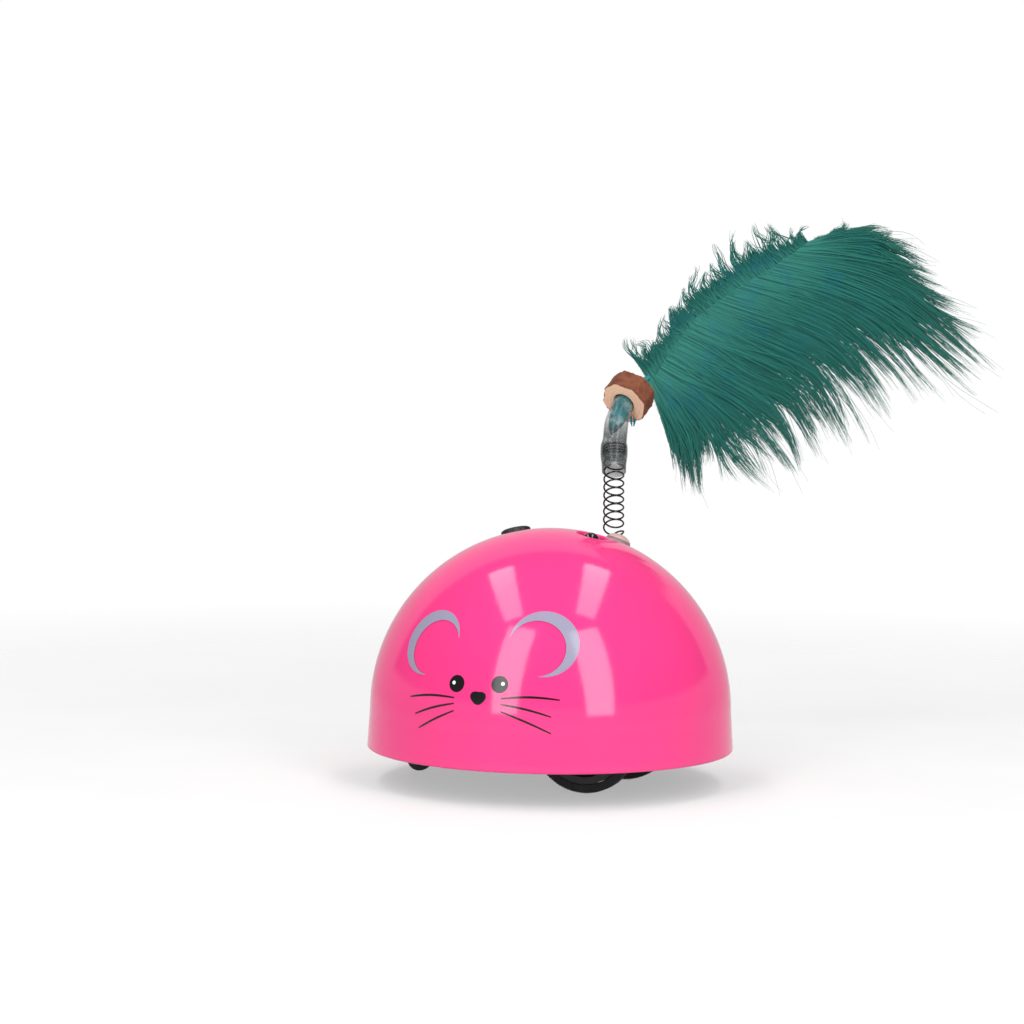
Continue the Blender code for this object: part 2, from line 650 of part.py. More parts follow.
def make_drive():
    """The drive axle with its bushes, wheel hubs and knurled tyres."""
    x, z = AXLE_AT
    rod("drive_axle", (x, -16.3, z), (x, 16.3, z), AXLE_RADIUS, "steel", 16)
    for name, side in (("left", -1), ("right", 1)):
        here, out = (x, 0, z), (0, side, 0)
        ring(f"axle_bush_{name}", 1.75, 3.0, 9.6, 11.9, "brass", here, out, 16)
        profile = [(0, 17.5), (HUB_BOSS, 17.5), (HUB_BOSS, 16.9), (12.6, 16.9), (13.2, 18.0),
                   (HUB_RADIUS, 18.0), (HUB_RADIUS, 14.5), (13.2, 14.5), (12.6, 15.6),
                   (HUB_BOSS, 15.6), (HUB_BOSS, 12.2), (AXLE_RADIUS + 0.2, 12.2),
                   (AXLE_RADIUS + 0.2, 16.6), (0, 16.6)]
        turned(f"wheel_hub_{name}", profile, "black", here, out, 24)
        make_tyre(name, side)


def make_tyre(name, side):
    """A rubber ring with fine pointed knurls."""
    points = []
    for knurl in range(KNURLS):
        for share, radius in ((0.0, DRIVE_RADIUS), (0.5, DRIVE_RADIUS - KNURL_DEPTH)):
            angle = 2 * math.pi * (knurl + share) / KNURLS
            points.append((AXLE_X + radius * math.cos(angle), AXLE_Z + radius * math.sin(angle)))
    bore = circle(*AXLE_AT, HUB_RADIUS + GAP, 30)
    y_low, y_high = sorted((side * WHEEL_INNER_Y, side * WHEEL_OUTER_Y))
    side_solid(f"tyre_{name}", [points, bore], y_low, y_high, "rubber")


def make_caster():
    """A fork that swivels in the base plate, and its small wheel."""
    wheel_x, wheel_z = SWIVEL_X - CASTER_TRAIL, GROUND_Z + CASTER_RADIUS
    stem = [(0, 5.6), (1.6, 5.6), (2.1, 5.1), (2.1, 3.8), (1.5, 3.8), (1.5, 2.7), (2.1, 2.7),
            (2.1, -0.4), (5.6, -0.4), (5.6, -1.9), (0, -1.9)]
    fork = turned("caster_fork", stem, "black", (SWIVEL_X, 0, 0), steps=16)
    cheek = [(SWIVEL_X - 5.4, -1.5), (SWIVEL_X - 5.0, -7.0), (wheel_x - 1.4, -10.4),
             (wheel_x, -10.8), (wheel_x + 1.4, -10.4), (SWIVEL_X + 4.6, -1.5)]
    for index, side in enumerate((-1, 1)):
        y_low, y_high = sorted((side * 2.6, side * 3.8))
        join(fork, side_solid(f"cheek_{index}", [cheek], y_low, y_high))
    cut(fork, rod("caster_pin_hole", (wheel_x, -6, wheel_z), (wheel_x, 6, wheel_z), 1.05,
                  steps=12))
    ring("caster_clip", 1.7, 3.7, 2.8, 3.5, "steel", (SWIVEL_X, 0, 0), (0, 0, 1))
    rod("caster_pin", (wheel_x, -3.9, wheel_z), (wheel_x, 3.9, wheel_z), 0.75, "steel", 12)
    crown = CASTER_RADIUS
    profile = [(crown - 0.7, 2.2), (crown - 0.15, 1.4), (crown, 0.6), (crown, -0.6),
               (crown - 0.15, -1.4), (crown - 0.7, -2.2), (1.0, -2.2), (1.0, 2.2)]
    turned("caster_wheel", profile, "rubber", (wheel_x, 0, wheel_z), (0, 1, 0), 24)


# ---------------------------------------------------------------- motor

def can_outline(radius, flat, x=0.0, z=0.0):
    """A circle with a flat above and below, as on a small motor's can."""
    corner = math.asin(flat / radius)
    steps = 8
    rise = [corner * (2 * i / steps - 1) for i in range(steps + 1)]
    turns = rise + [math.pi + a for a in rise]
    return [(x + radius * math.cos(a), z + radius * math.sin(a)) for a in turns]


def make_motor():
    """The motor: can, end cap, and the armature on its shaft."""
    x, z = MOTOR_AT
    can = side_solid("motor_can", [can_outline(CAN_RADIUS, CAN_FLAT, x, z)], CAN_BACK_Y,
                     CAN_FRONT_Y, "steel")
    join(can, rod("can_boss", (x, CAN_FRONT_Y - 0.5, z), (x, CAN_FRONT_Y + 0.8, z), 3.0))
    cut(can, side_solid("can_hollow", [can_outline(CAN_RADIUS - 0.9, CAN_FLAT - 0.9, x, z)],
                        CAN_BACK_Y - 1.0, CAN_FRONT_Y - 1.0))
    cut(can, rod("can_shaft_hole", (x, 0, z), (x, 6, z), 1.35, steps=12))
    cap = side_solid("motor_end_cap", [can_outline(CAN_RADIUS, CAN_FLAT, x, z)],
                     CAN_BACK_Y - 1.7, CAN_BACK_Y - GAP, "white")
    join(cap, side_solid("cap_spigot", [can_outline(CAN_RADIUS - 1.2, CAN_FLAT - 1.2, x, z)],
                         CAN_BACK_Y - 0.6, CAN_BACK_Y + 1.6))
    ring("motor_armature", 1.2, 6.0, -17.0, -0.5, "copper", (x, 0, z), (0, 1, 0))
    rod("motor_shaft", (x, -19.2, z), (x, 9.2, z), 1.0, "steel", 12)


# ---------------------------------------------------------------- board, switch and sensor

def make_board():
    """The circuit board and its controller."""
    board = block("circuit_board", BOARD_LOW, BOARD_HIGH, "board")
    for index, (x, y) in enumerate(BOARD_POSTS):
        cut(board, rod(f"board_hole_{index}", (x, y, 16), (x, y, 20), BOARD_PEG + GAP, steps=12))
    top = BOARD_HIGH[2] + GAP
    block("controller_chip", (-29.0, -7.0, top), (-19.0, 3.0, top + 1.7), "black")


def make_button():
    """The power button, and the switch that it presses, on one axis through the dome."""
    out = dome_normal(*BUTTON_XY)
    top = DOME_RADIUS + 1.3
    profile = [(0, top), (3.2, top - 0.12), (4.5, top - 0.35), (BUTTON_RADIUS, top - 0.8),
               (BUTTON_RADIUS, 56.6), (6.2, 56.6), (6.2, 55.4), (4.0, 55.4), (4.0, 53.5),
               (0, 53.5)]
    turned("power_button", profile, "black", SPHERE, out)
    turned("switch_stem", [(0, 53.2), (1.6, 53.2), (1.6, 51.0), (0, 51.0)], "white", SPHERE, out,
           16)
    body = rod("push_switch", Vector(SPHERE) + out * 49.0, Vector(SPHERE) + out * 52.0, 4.2,
               "black", 4)
    cut(body, rod("switch_bore", Vector(SPHERE) + out * 49.6, Vector(SPHERE) + out * 53.0, 1.9,
                  steps=16))
    ring("switch_carrier", 1.2, 7.8, 47.2, 48.7, "grey", SPHERE, out)


def make_sensor():
    """The dark sensor lens in its bezel."""
    out = dome_normal(*SENSOR_XY)
    lens = [(0, 57.9), (1.2, 57.65), (2.2, 57.0), (2.8, 56.1), (3.0, 55.2), (3.0, 51.6),
            (0, 51.6)]
    turned("sensor_lens", lens, "lens", SPHERE, out, 24)
    ring("sensor_bezel", 3.3, 4.5, 51.6, 55.4, "black", SPHERE, out)


def make_leads():
    """Insulated wires inside the shell, each smooth through a few points."""
    board_top = BOARD_HIGH[2] + 0.35
    x, z = MOTOR_AT
    button = Vector(SPHERE) + dome_normal(*BUTTON_XY) * 46.3
    sensor = Vector(SPHERE) + dome_normal(*SENSOR_XY) * 50.8
    routes = (
        ("motor_lead_red", "red", ((x - 6, -23.9, z), (x - 12, -28.0, z - 3), (0, -28.0, 29),
                                   (-9, -20.0, 24), (-10, -16.0, board_top + 0.5))),
        ("motor_lead_black", "black", ((x + 5, -23.9, z - 3), (x - 4, -30.0, z - 8),
                                       (-3, -31.0, 25), (-13, -22.0, 24),
                                       (-14, -16.0, board_top + 0.5))),
        ("battery_lead_red", "red", ((-15.6, 24.45, 16.7), (-15.0, 24.6, 20.5), (-13, 21, 22.6),
                                     (-12, 17.5, board_top + 0.5))),
        ("battery_lead_black", "black", ((-26.6, 24.45, 16.7), (-25.6, 24.6, 20.5),
                                         (-21, 21.5, 22.4), (-20, 17.5, board_top + 0.5))),
        ("switch_lead", "white", (tuple(button), (-14, 9, 42), (-17, 8, 30),
                                  (-16, 6, board_top + 0.5))),
        ("sensor_lead", "white", (tuple(sensor), (1, 5, 48), (-7, 3, 38), (-11, 0, 28),
                                  (-11, -2, board_top + 0.5))),
    )
    for name, look, points in routes:
        wire(name, smooth(points, 4), 0.5, look)


# ---------------------------------------------------------------- tail

def tail_point(along, behind, height):
    """A point of the tail's own plane in the object's frame."""
    turn = math.radians(TAIL_TURN)
    return (TAIL_XY[0] + along * math.cos(turn) - behind * math.sin(turn),
            TAIL_XY[1] + along * math.sin(turn) + behind * math.cos(turn), height)


def tail_route(route, steps, change=0.0):
    """A smooth route of points with radii, each radius changed by so much."""
    return [(*tail_point(a, b, h), radius + change) for a, b, h, radius in smooth(route, steps)]


def make_plug():
    """The beige plug that closes the tail hole, pushed in on a long stem."""
    out = dome_normal(*PLUG_XY)
    crown, edge = 61.9, 59.75
    profile = [(0, crown), (1.6, crown - 0.2), (2.9, crown - 0.75), (3.8, crown - 1.5),
               (PLUG_RADIUS, edge + 0.3), (PLUG_RADIUS, edge), (PLUG_STEM, edge),
               (PLUG_STEM, 51.0), (0, 51.0)]
    turned("tail_plug", profile, "beige", SPHERE, out)


def make_spring():
    """The tail's coil spring: open turns, then closed wider turns inside the tube."""
    steps = 8
    axis = [Vector(tail_point(*p)) for p in smooth(SPRING_AXIS, steps)]
    axis.append(2 * axis[-1] - axis[-2])     # runs on past the last turn, for its direction
    lengths = np.cumsum([0.0] + [(b - a).length for a, b in zip(axis, axis[1:])])
    ends = (0.0, lengths[-2 - steps], lengths[-2])

    def spot(distance):
        """The point of the axis so far from its start."""
        return Vector([np.interp(distance, lengths, [p[k] for p in axis]) for k in range(3)])

    along = Vector(tail_point(1, 0, 0)) - Vector(tail_point(0, 0, 0))
    total_turns = SPRING_OPEN_TURNS + SPRING_CLOSED_TURNS
    per_turn = 6
    points = []
    for i in range(int(per_turn * total_turns) + 1):
        turn = i / per_turn
        place = np.interp(turn, (0.0, SPRING_OPEN_TURNS, total_turns), ends)
        up = (spot(place + 0.2) - spot(place)).normalized()
        side = (along - up * along.dot(up)).normalized()
        radius = np.interp(turn, (SPRING_OPEN_TURNS, SPRING_OPEN_TURNS + 2),
                           (SPRING_COIL, CLOSED_COIL))
        angle = 2 * math.pi * turn
        out = side * math.cos(angle) + up.cross(side) * math.sin(angle)
        points.append(spot(place) + out * radius)
    wire("tail_spring", points, SPRING_WIRE, "steel")


def make_wand():
    """The clear tube, the quill in it, the wooden bead and the feather."""
    tube = wire_solid("clear_tube", tail_route(TUBE_ROUTE, 2), 4.0, "clear", TUBE_RESOLUTION)
    route = tail_route(TUBE_ROUTE, 2, -TUBE_WALL)
    first, last = Vector(route[0][:3]), Vector(route[-1][:3])
    start = first + (first - Vector(route[1][:3])).normalized()
    end = last + (last - Vector(route[-2][:3])).normalized()
    route = [(*start, route[0][3])] + route + [(*end, route[-1][3])]
    cut(tube, wire_solid("tube_bore", route, 4.0, None, TUBE_RESOLUTION))
    wire_solid("feather_quill", tail_route(QUILL_ROUTE, 2), 2.0, "teal")
    near, far = Vector(tail_point(*BEAD_NEAR)), Vector(tail_point(*BEAD_FAR))
    length = (far - near).length
    bead = [(BEAD_RADIUS - 0.6, length), (BEAD_RADIUS, length - 0.8), (BEAD_RADIUS, 0.8),
            (BEAD_RADIUS - 0.6, 0), (BEAD_BORE, 0), (BEAD_BORE, length)]
    turned("wooden_bead", bead, "wood", near, far - near, 20)
    outline = smooth(FEATHER_OUTLINE, 4, closed=True)
    plane = (Matrix.Translation(Vector(tail_point(0, FEATHER_DEPTH, 0)) * MM)
             @ Matrix.Rotation(math.radians(TAIL_TURN), 4, "Z")
             @ Matrix.Rotation(math.radians(90), 4, "X"))
    flat_solid("feather", [outline], -FEATHER_THICKNESS / 2, FEATHER_THICKNESS / 2, "teal", plane)


TRIM_BALL = turned("trim_ball", dome_arc(TRIM_RADIUS, 90, -90), steps=DOME_STEPS)
make_dome()
make_base()
make_screws()
make_cells()
make_door()
make_gears()
make_gearbox_plates()
make_gear_cover()
make_drive()
make_caster()
make_motor()
make_board()
make_button()
make_sensor()
make_leads()
make_plug()
make_spring()
make_wand()
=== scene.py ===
"""The looks of a robot mouse cat toy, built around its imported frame.

The frame is in metres; sizes written here are in millimetres and turned by MM where a mesh is
made. +Z is up along the dome's axis, the toy rolls towards -X and its printed face is on -Y.
"""
import json
import math

import bmesh
import bpy
import numpy as np
from mathutils import Matrix, Vector


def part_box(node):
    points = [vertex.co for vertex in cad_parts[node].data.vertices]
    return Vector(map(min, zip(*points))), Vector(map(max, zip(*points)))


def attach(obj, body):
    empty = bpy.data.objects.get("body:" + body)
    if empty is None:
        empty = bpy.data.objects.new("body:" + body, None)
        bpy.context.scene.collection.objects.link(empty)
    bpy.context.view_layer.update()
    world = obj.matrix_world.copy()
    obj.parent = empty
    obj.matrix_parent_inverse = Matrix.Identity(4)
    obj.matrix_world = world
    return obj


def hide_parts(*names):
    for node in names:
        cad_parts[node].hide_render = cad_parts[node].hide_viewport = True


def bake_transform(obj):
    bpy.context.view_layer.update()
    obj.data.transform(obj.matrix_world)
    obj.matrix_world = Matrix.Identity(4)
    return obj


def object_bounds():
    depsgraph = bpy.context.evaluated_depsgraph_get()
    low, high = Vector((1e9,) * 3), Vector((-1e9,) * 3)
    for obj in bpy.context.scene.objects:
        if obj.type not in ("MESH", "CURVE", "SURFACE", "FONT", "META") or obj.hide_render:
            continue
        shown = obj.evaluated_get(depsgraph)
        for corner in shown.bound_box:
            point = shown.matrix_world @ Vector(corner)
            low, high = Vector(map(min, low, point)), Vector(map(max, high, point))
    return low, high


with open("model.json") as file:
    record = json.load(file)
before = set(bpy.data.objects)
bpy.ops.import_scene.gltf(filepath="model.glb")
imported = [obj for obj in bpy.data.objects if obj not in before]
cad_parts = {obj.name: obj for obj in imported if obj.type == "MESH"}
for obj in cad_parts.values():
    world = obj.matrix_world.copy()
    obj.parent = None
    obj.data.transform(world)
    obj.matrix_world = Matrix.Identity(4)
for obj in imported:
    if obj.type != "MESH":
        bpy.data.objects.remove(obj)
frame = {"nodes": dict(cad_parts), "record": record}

CAD_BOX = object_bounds()
MM = 0.001
UP = Vector((0, 0, 1))

# Dome, taken from its solid: a ball's cap that ends in a short skirt
DOME_LOW, DOME_HIGH = (Vector(corner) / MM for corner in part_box("dome_shell"))
SKIRT_RADIUS = DOME_HIGH.x
DOME_RADIUS = SKIRT_RADIUS - 0.8
SPHERE_Z = DOME_HIGH.z - DOME_RADIUS
RIM_Z = DOME_LOW.z
WALL = 2.2
INNER_RADIUS = DOME_RADIUS - WALL
SPHERE = Vector((0, 0, SPHERE_Z))
GROUND_Z = CAD_BOX[0][2] / MM

# What stands on the dome: place in plan and radius
BUTTON_XY, BUTTON_RADIUS = (-17.0, 8.6), 5.0
SENSOR_XY, SENSOR_HOLE = (13.5, 1.6), 5.0
PLUG_XY, PLUG_RADIUS = (15.0, 19.7), 4.1

# Wheels
AXLE_X, AXLE_Z = 19.5, 5.4
DRIVE_RADIUS = AXLE_Z - GROUND_Z
HUB_RADIUS = 15.5
TREAD = (14.5, 18.0)          # the tyre's inner and outer side, from the middle plane
KNURLS = 110
KNURL_DEPTH = 0.3

# Tail: points are written as distance along an upright plane through TAIL_XY, turned from +X,
# distance behind it and height. The tail leans backwards as it rises.
TAIL_XY, TAIL_TURN = Vector((13.5, 21.0, 0)), math.radians(24)
ALONG = Vector((math.cos(TAIL_TURN), math.sin(TAIL_TURN), 0))
BEHIND = Vector((-math.sin(TAIL_TURN), math.cos(TAIL_TURN), 0))


def tail_point(along, behind, height):
    """A point of the tail's plane, in millimetres."""
    return TAIL_XY + ALONG * along + BEHIND * behind + UP * height


# where the spring's closed turns start and end, inside the tube
CLOSED_TURNS_SPAN = (tail_point(-0.35, 19.0, 92.9), tail_point(-0.3, 20.7, 96.5))


def dome_direction(x, y):
    """The unit vector from the ball's centre to the place on the dome over (x, y)."""
    return Vector((x, y, math.sqrt(DOME_RADIUS ** 2 - x * x - y * y))).normalized()


# ---------------------------------------------------------------- material nodes

def add_node(tree, kind, **settings):
    """A new shader node with its settings."""
    made = tree.nodes.new("ShaderNode" + kind)
    for key, value in settings.items():
        setattr(made, key, value)
    return made


class Material:
    """A node material with short calls for the nodes that the looks below share."""

    def __init__(self, name, roughness=0.4, metallic=0.0, **inputs):
        self.material = bpy.data.materials.new(name)
        self.material.use_nodes = True
        self.tree = self.material.node_tree
        self.shader = self.tree.nodes["Principled BSDF"]
        self.shader.inputs["Roughness"].default_value = roughness
        self.shader.inputs["Metallic"].default_value = metallic
        for key, value in inputs.items():
            self.feed(self.shader.inputs[key.replace("_", " ")], value)
        self.place = self.node("TexCoord").outputs["Object"]

    def node(self, kind, **settings):
        return add_node(self.tree, kind, **settings)

    def feed(self, socket, value):
        """Link a socket to an output, or set its value."""
        if isinstance(value, bpy.types.NodeSocket):
            self.tree.links.new(value, socket)
        elif isinstance(value, tuple) and len(value) == 3 and socket.type == "RGBA":
            socket.default_value = (*value, 1.0)
        else:
            socket.default_value = value

    def noise(self, size, detail=2.0, stretch=(1, 1, 1), place=None):
        """Noise whose grains are about size millimetres across, between 0 and 1."""
        mapping = self.node("Mapping")
        self.feed(mapping.inputs["Vector"], place or self.place)
        mapping.inputs["Scale"].default_value = stretch
        made = self.node("TexNoise")
        self.feed(made.inputs["Vector"], mapping.outputs["Vector"])
        made.inputs["Scale"].default_value = 1 / (size * MM)
        made.inputs["Detail"].default_value = detail
        return made.outputs["Fac"]

    def ramp(self, value, *stops, interpolation="LINEAR"):
        """Colours at positions along a value."""
        made = self.node("ValToRGB")
        made.color_ramp.interpolation = interpolation
        elements = made.color_ramp.elements
        for index, (position, colour) in enumerate(stops):
            if index < 2:
                element = elements[index]
                element.position = position
            else:
                element = elements.new(position)
            element.color = (*colour, 1.0)
        self.feed(made.inputs["Fac"], value)
        return made.outputs["Color"]

    def mix(self, factor, first, second, blend="MIX"):
        made = self.node("Mix", data_type="RGBA", blend_type=blend)
        self.feed(made.inputs["Factor"], factor)
        self.feed(made.inputs[6], first)
        self.feed(made.inputs[7], second)
        return made.outputs[2]

    def between(self, value, low, high, start=0.3, end=0.7):
        """A number that goes from low to high as value goes from start to end."""
        made = self.node("MapRange")
        for key, number in (("From Min", start), ("From Max", end), ("To Min", low),
                            ("To Max", high)):
            made.inputs[key].default_value = number
        self.feed(made.inputs["Value"], value)
        return made.outputs["Result"]

    def maths(self, operation, first, second=0.0):
        made = self.node("Math", operation=operation)
        self.feed(made.inputs[0], first)
        self.feed(made.inputs[1], second)
        return made.outputs[0]

    def vector(self, operation, first, second=(0, 0, 0), output="Vector"):
        made = self.node("VectorMath", operation=operation)
        self.feed(made.inputs[0], first)
        made.inputs[1].default_value = second
        return made.outputs[output]

    def axis(self, name, place=None):
        """One coordinate of the place on the surface, in metres."""
        made = self.node("SeparateXYZ")
        self.feed(made.inputs["Vector"], place or self.place)
        return made.outputs[name]

    def colour(self, value):
        self.feed(self.shader.inputs["Base Color"], value)

    def roughness(self, value):
        self.feed(self.shader.inputs["Roughness"], value)

    def bump(self, height, depth, strength=1.0):
        """Bump of a depth in millimetres from a height between 0 and 1."""
        made = self.node("Bump")
        made.inputs["Strength"].default_value = strength
        made.inputs["Distance"].default_value = depth * MM
        self.feed(made.inputs["Height"], height)
        self.feed(self.shader.inputs["Normal"], made.outputs["Normal"])


def shade(colour, factor):
    """A colour made darker, or lighter with a factor above 1."""
    return tuple(c * factor for c in colour)


def plastic(name, colour, roughness=0.35, grain=0.25, depth=0.01, spread=0.12, coat=0.0):
    """Moulded plastic: faint flow marks in its colour and a fine grain in its finish."""
    look = Material(name, IOR=1.5, Coat_Weight=coat, Coat_Roughness=0.04)
    flow = look.noise(9.0, 3.0)
    fine = look.noise(grain, 2.0)
    look.colour(look.ramp(flow, (0.3, shade(colour, 1 - spread / 2)),
                          (0.7, shade(colour, 1 + spread / 2))))
    look.roughness(look.between(fine, roughness * 0.85, roughness * 1.2))
    if depth:
        look.bump(fine, depth)
    return look.material


def metal(name, colour, roughness=0.3, stretch=(1, 1, 12)):
    """Drawn or turned metal, with fine lines in its finish."""
    look = Material(name, metallic=1.0)
    lines = look.noise(0.5, 3.0, stretch)
    stain = look.noise(5.0, 2.0)
    look.colour(look.ramp(stain, (0.25, shade(colour, 0.8)), (0.75, colour)))
    look.roughness(look.between(lines, roughness * 0.7, roughness * 1.4))
    look.bump(lines, 0.01)
    return look.material


def shell_look():
    """Glossy pink plastic with the slight waviness of a moulded dome."""
    look = Material("shell_pink", IOR=1.49)
    pink = (0.93, 0.048, 0.245)
    flow = look.noise(30.0, 2.0)
    look.colour(look.ramp(flow, (0.3, shade(pink, 0.97)), (0.7, shade(pink, 1.02))))
    look.roughness(look.between(look.noise(2.0, 3.0), 0.08, 0.12))
    look.bump(look.noise(14.0, 1.0), 0.012)
    return look.material


def rubber(name, colour):
    """Matt black rubber with a little dust."""
    look = Material(name, Specular_IOR_Level=0.35)
    dust = look.noise(3.0, 4.0)
    fine = look.noise(0.2, 3.0)
    look.colour(look.ramp(dust, (0.35, shade(colour, 1.4)), (0.75, shade(colour, 2.4))))
    look.roughness(look.between(fine, 0.55, 0.8))
    look.bump(fine, 0.03)
    return look.material


def cell_look():
    """A battery's printed sleeve: a blue body with a brass coloured band at one end."""
    look = Material("cell_sleeve", roughness=0.25, Coat_Weight=0.3)
    along = look.between(look.axis("Y"), 0.0, 1.0, -22 * MM, 22 * MM)
    bands = look.ramp(along, (0.0, (0.55, 0.55, 0.56)), (0.02, (0.03, 0.1, 0.35)),
                      (0.72, (0.6, 0.4, 0.12)), (0.98, (0.55, 0.55, 0.56)),
                      interpolation="CONSTANT")
    scuffs = look.noise(1.5, 5.0)
    look.colour(look.mix(look.between(scuffs, 0.0, 0.2, 0.55, 0.8), bands, (0.5, 0.5, 0.5)))
    look.roughness(look.between(scuffs, 0.2, 0.4))
    return look.material


def board_look():
    """Green solder mask with a lighter pattern of tracks."""
    look = Material("board_mask", roughness=0.3)
    cells = look.node("TexVoronoi", distance="MANHATTAN", feature="DISTANCE_TO_EDGE")
    look.feed(cells.inputs["Vector"], look.place)
    cells.inputs["Scale"].default_value = 1 / (3.2 * MM)
    look.colour(look.ramp(cells.outputs["Distance"], (0.03, (0.05, 0.3, 0.12)),
                          (0.06, (0.01, 0.13, 0.05))))
    look.bump(cells.outputs["Distance"], 0.02, 0.4)
    return look.material


def wood_face_look():
    """Pale end grain with rings and a crack, laid out by the bead's own map."""
    look = Material("wood_end_grain", roughness=0.65, Specular_IOR_Level=0.3)
    chart = look.node("UVMap", uv_map="bead").outputs["UV"]
    across, turn = look.axis("X", chart), look.axis("Y", chart)
    wobble = look.noise(2.5, 4.0)
    rings = look.maths("SINE", look.maths("ADD", look.maths("MULTIPLY", across, 40.0),
                                          look.maths("MULTIPLY", wobble, 9.0)))
    pale = look.ramp(look.between(rings, 0, 1, -1, 1), (0.0, (0.92, 0.60, 0.36)),
                     (1.0, (0.97, 0.72, 0.47)))
    mottled = look.mix(look.between(look.noise(0.6, 5.0), 0.0, 0.45), pale, (1.0, 0.86, 0.66))
    # a radial crack, and a stained edge where the bark starts
    crack = look.maths("ABSOLUTE", look.maths("SUBTRACT", turn, 0.17))
    wave = look.between(look.noise(1.2, 3.0), -0.006, 0.006)
    line = look.between(look.maths("ADD", crack, wave), 1.0, 0.0, 0.003, 0.010)
    marked = look.mix(look.maths("MULTIPLY", line, 0.75), mottled, (0.30, 0.12, 0.06))
    edge = look.between(look.maths("ADD", across, look.between(wobble, -0.03, 0.03)), 0.0, 1.0,
                        0.955, 1.0)
    look.colour(look.mix(edge, marked, (0.22, 0.07, 0.035)))
    look.bump(look.noise(0.35, 4.0), 0.12)
    return look.material


def bark_look():
    """Reddish brown bark with fine lengthwise fibres."""
    look = Material("bark", roughness=0.6, Specular_IOR_Level=0.35)
    chart = look.node("UVMap", uv_map="bead").outputs["UV"]
    mapping = look.node("Mapping")
    look.feed(mapping.inputs["Vector"], chart)
    mapping.inputs["Scale"].default_value = (0.012, 0.05, 1)
    fibres = look.noise(0.35, 5.0, (1, 4, 1), mapping.outputs["Vector"])
    patches = look.noise(3.0, 3.0)
    brown = look.ramp(patches, (0.3, (0.17, 0.045, 0.03)), (0.5, (0.27, 0.08, 0.035)),
                      (0.7, (0.36, 0.12, 0.05)))
    look.colour(look.mix(look.between(fibres, 0.0, 0.6), brown, (0.12, 0.03, 0.02)))
    look.roughness(look.between(fibres, 0.5, 0.75))
    look.bump(fibres, 0.25)
    return look.material


def tube_look():
    """Soft clear plastic, a little grey, seen more strongly where it is looked along."""
    look = Material("clear_tube", roughness=0.16, IOR=1.45)
    low, high = CLOSED_TURNS_SPAN
    ahead = (high - low).normalized()
    along = look.vector("DOT_PRODUCT", look.place, ahead, "Value")
    along = look.maths("SUBTRACT", along, ahead.dot(low) * MM)
    haze = look.noise(4.0, 3.0)
    grey = look.ramp(haze, (0.35, (0.075, 0.09, 0.09)), (0.52, (0.12, 0.14, 0.14)),
                     (0.66, (0.50, 0.53, 0.52)))
    middle = (high - low).length * MM / 2
    off = look.maths("ABSOLUTE", look.maths("SUBTRACT", along, middle))
    band = look.between(off, 0.85, 0.0, middle * 0.9, middle * 1.15)
    look.colour(look.mix(band, grey, (0.025, 0.027, 0.03)))
    edge = look.node("LayerWeight")
    edge.inputs["Blend"].default_value = 0.35
    murky = look.between(edge.outputs["Facing"], 0.0, 0.45, 0.4, 0.95)
    depth = look.between(along, 0.48, 0.22, middle * 2 + 0.0035, middle * 2 + 0.007)
    look.feed(look.shader.inputs["Alpha"], look.maths("ADD", depth, murky))
    look.roughness(look.between(haze, 0.1, 0.3))
    look.bump(haze, 0.05)
    return look.material


def feather_look():
    """Dyed down: each barb has its own tone, kept on the mesh with how far along it is."""
    look = Material("down_teal", roughness=0.75, Specular_IOR_Level=0.15, Sheen_Weight=0.12,
                    Sheen_Roughness=0.5)
    facts = look.node("Attribute", attribute_name="barb").outputs["Color"]
    split = look.node("SeparateColor")
    look.feed(split.inputs["Color"], facts)
    tone, reach, painted_highlight = (split.outputs[key] for key in ("Red", "Green", "Blue"))
    dyed = look.ramp(tone, (0.0, (0.014, 0.125, 0.108)), (0.5, (0.018, 0.160, 0.130)),
                     (1.0, (0.028, 0.205, 0.162)))
    blue = look.between(look.noise(9.0, 3.0), 0.0, 0.8, 0.52, 0.7)
    deep = look.mix(look.maths("MULTIPLY", blue, look.between(reach, 1.0, 0.0, 0.1, 0.6)), dyed,
                    (0.008, 0.14, 0.19))
    tips = look.mix(look.between(reach, 0.0, 0.7, 0.6, 1.0), deep, (0.052, 0.150, 0.115))
    # painted highlight: where the barb's blue fact is high, a lighter teal is mixed in, close to
    # the shaft and most at its foot
    with_painted_highlight = look.mix(painted_highlight, tips, (0.060, 0.30, 0.24))
    streaks = look.noise(1.2, 3.0)
    look.colour(look.mix(look.between(streaks, 0.0, 0.12), with_painted_highlight, (0.004, 0.06, 0.07)))
    return look.material


def lens_look():
    """A dark red infrared window over black."""
    look = Material("sensor_window", roughness=0.04, IOR=1.52, Coat_Weight=0.6)
    cloud = look.noise(2.0, 2.0)
    look.colour(look.ramp(cloud, (0.3, (0.010, 0.002, 0.003)), (0.7, (0.035, 0.004, 0.010))))
    look.roughness(look.between(cloud, 0.03, 0.07))
    return look.material


def ink(name, colour):
    """Pad-printed ink, with tiny pinholes of the surface's unevenness in its finish."""
    look = Material(name, IOR=1.45)
    grains = look.noise(0.35, 3.0)
    look.colour(look.ramp(grains, (0.3, shade(colour, 0.92)), (0.7, shade(colour, 1.06))))
    look.roughness(look.between(grains, 0.10, 0.17))
    look.bump(grains, 0.004)
    return look.material


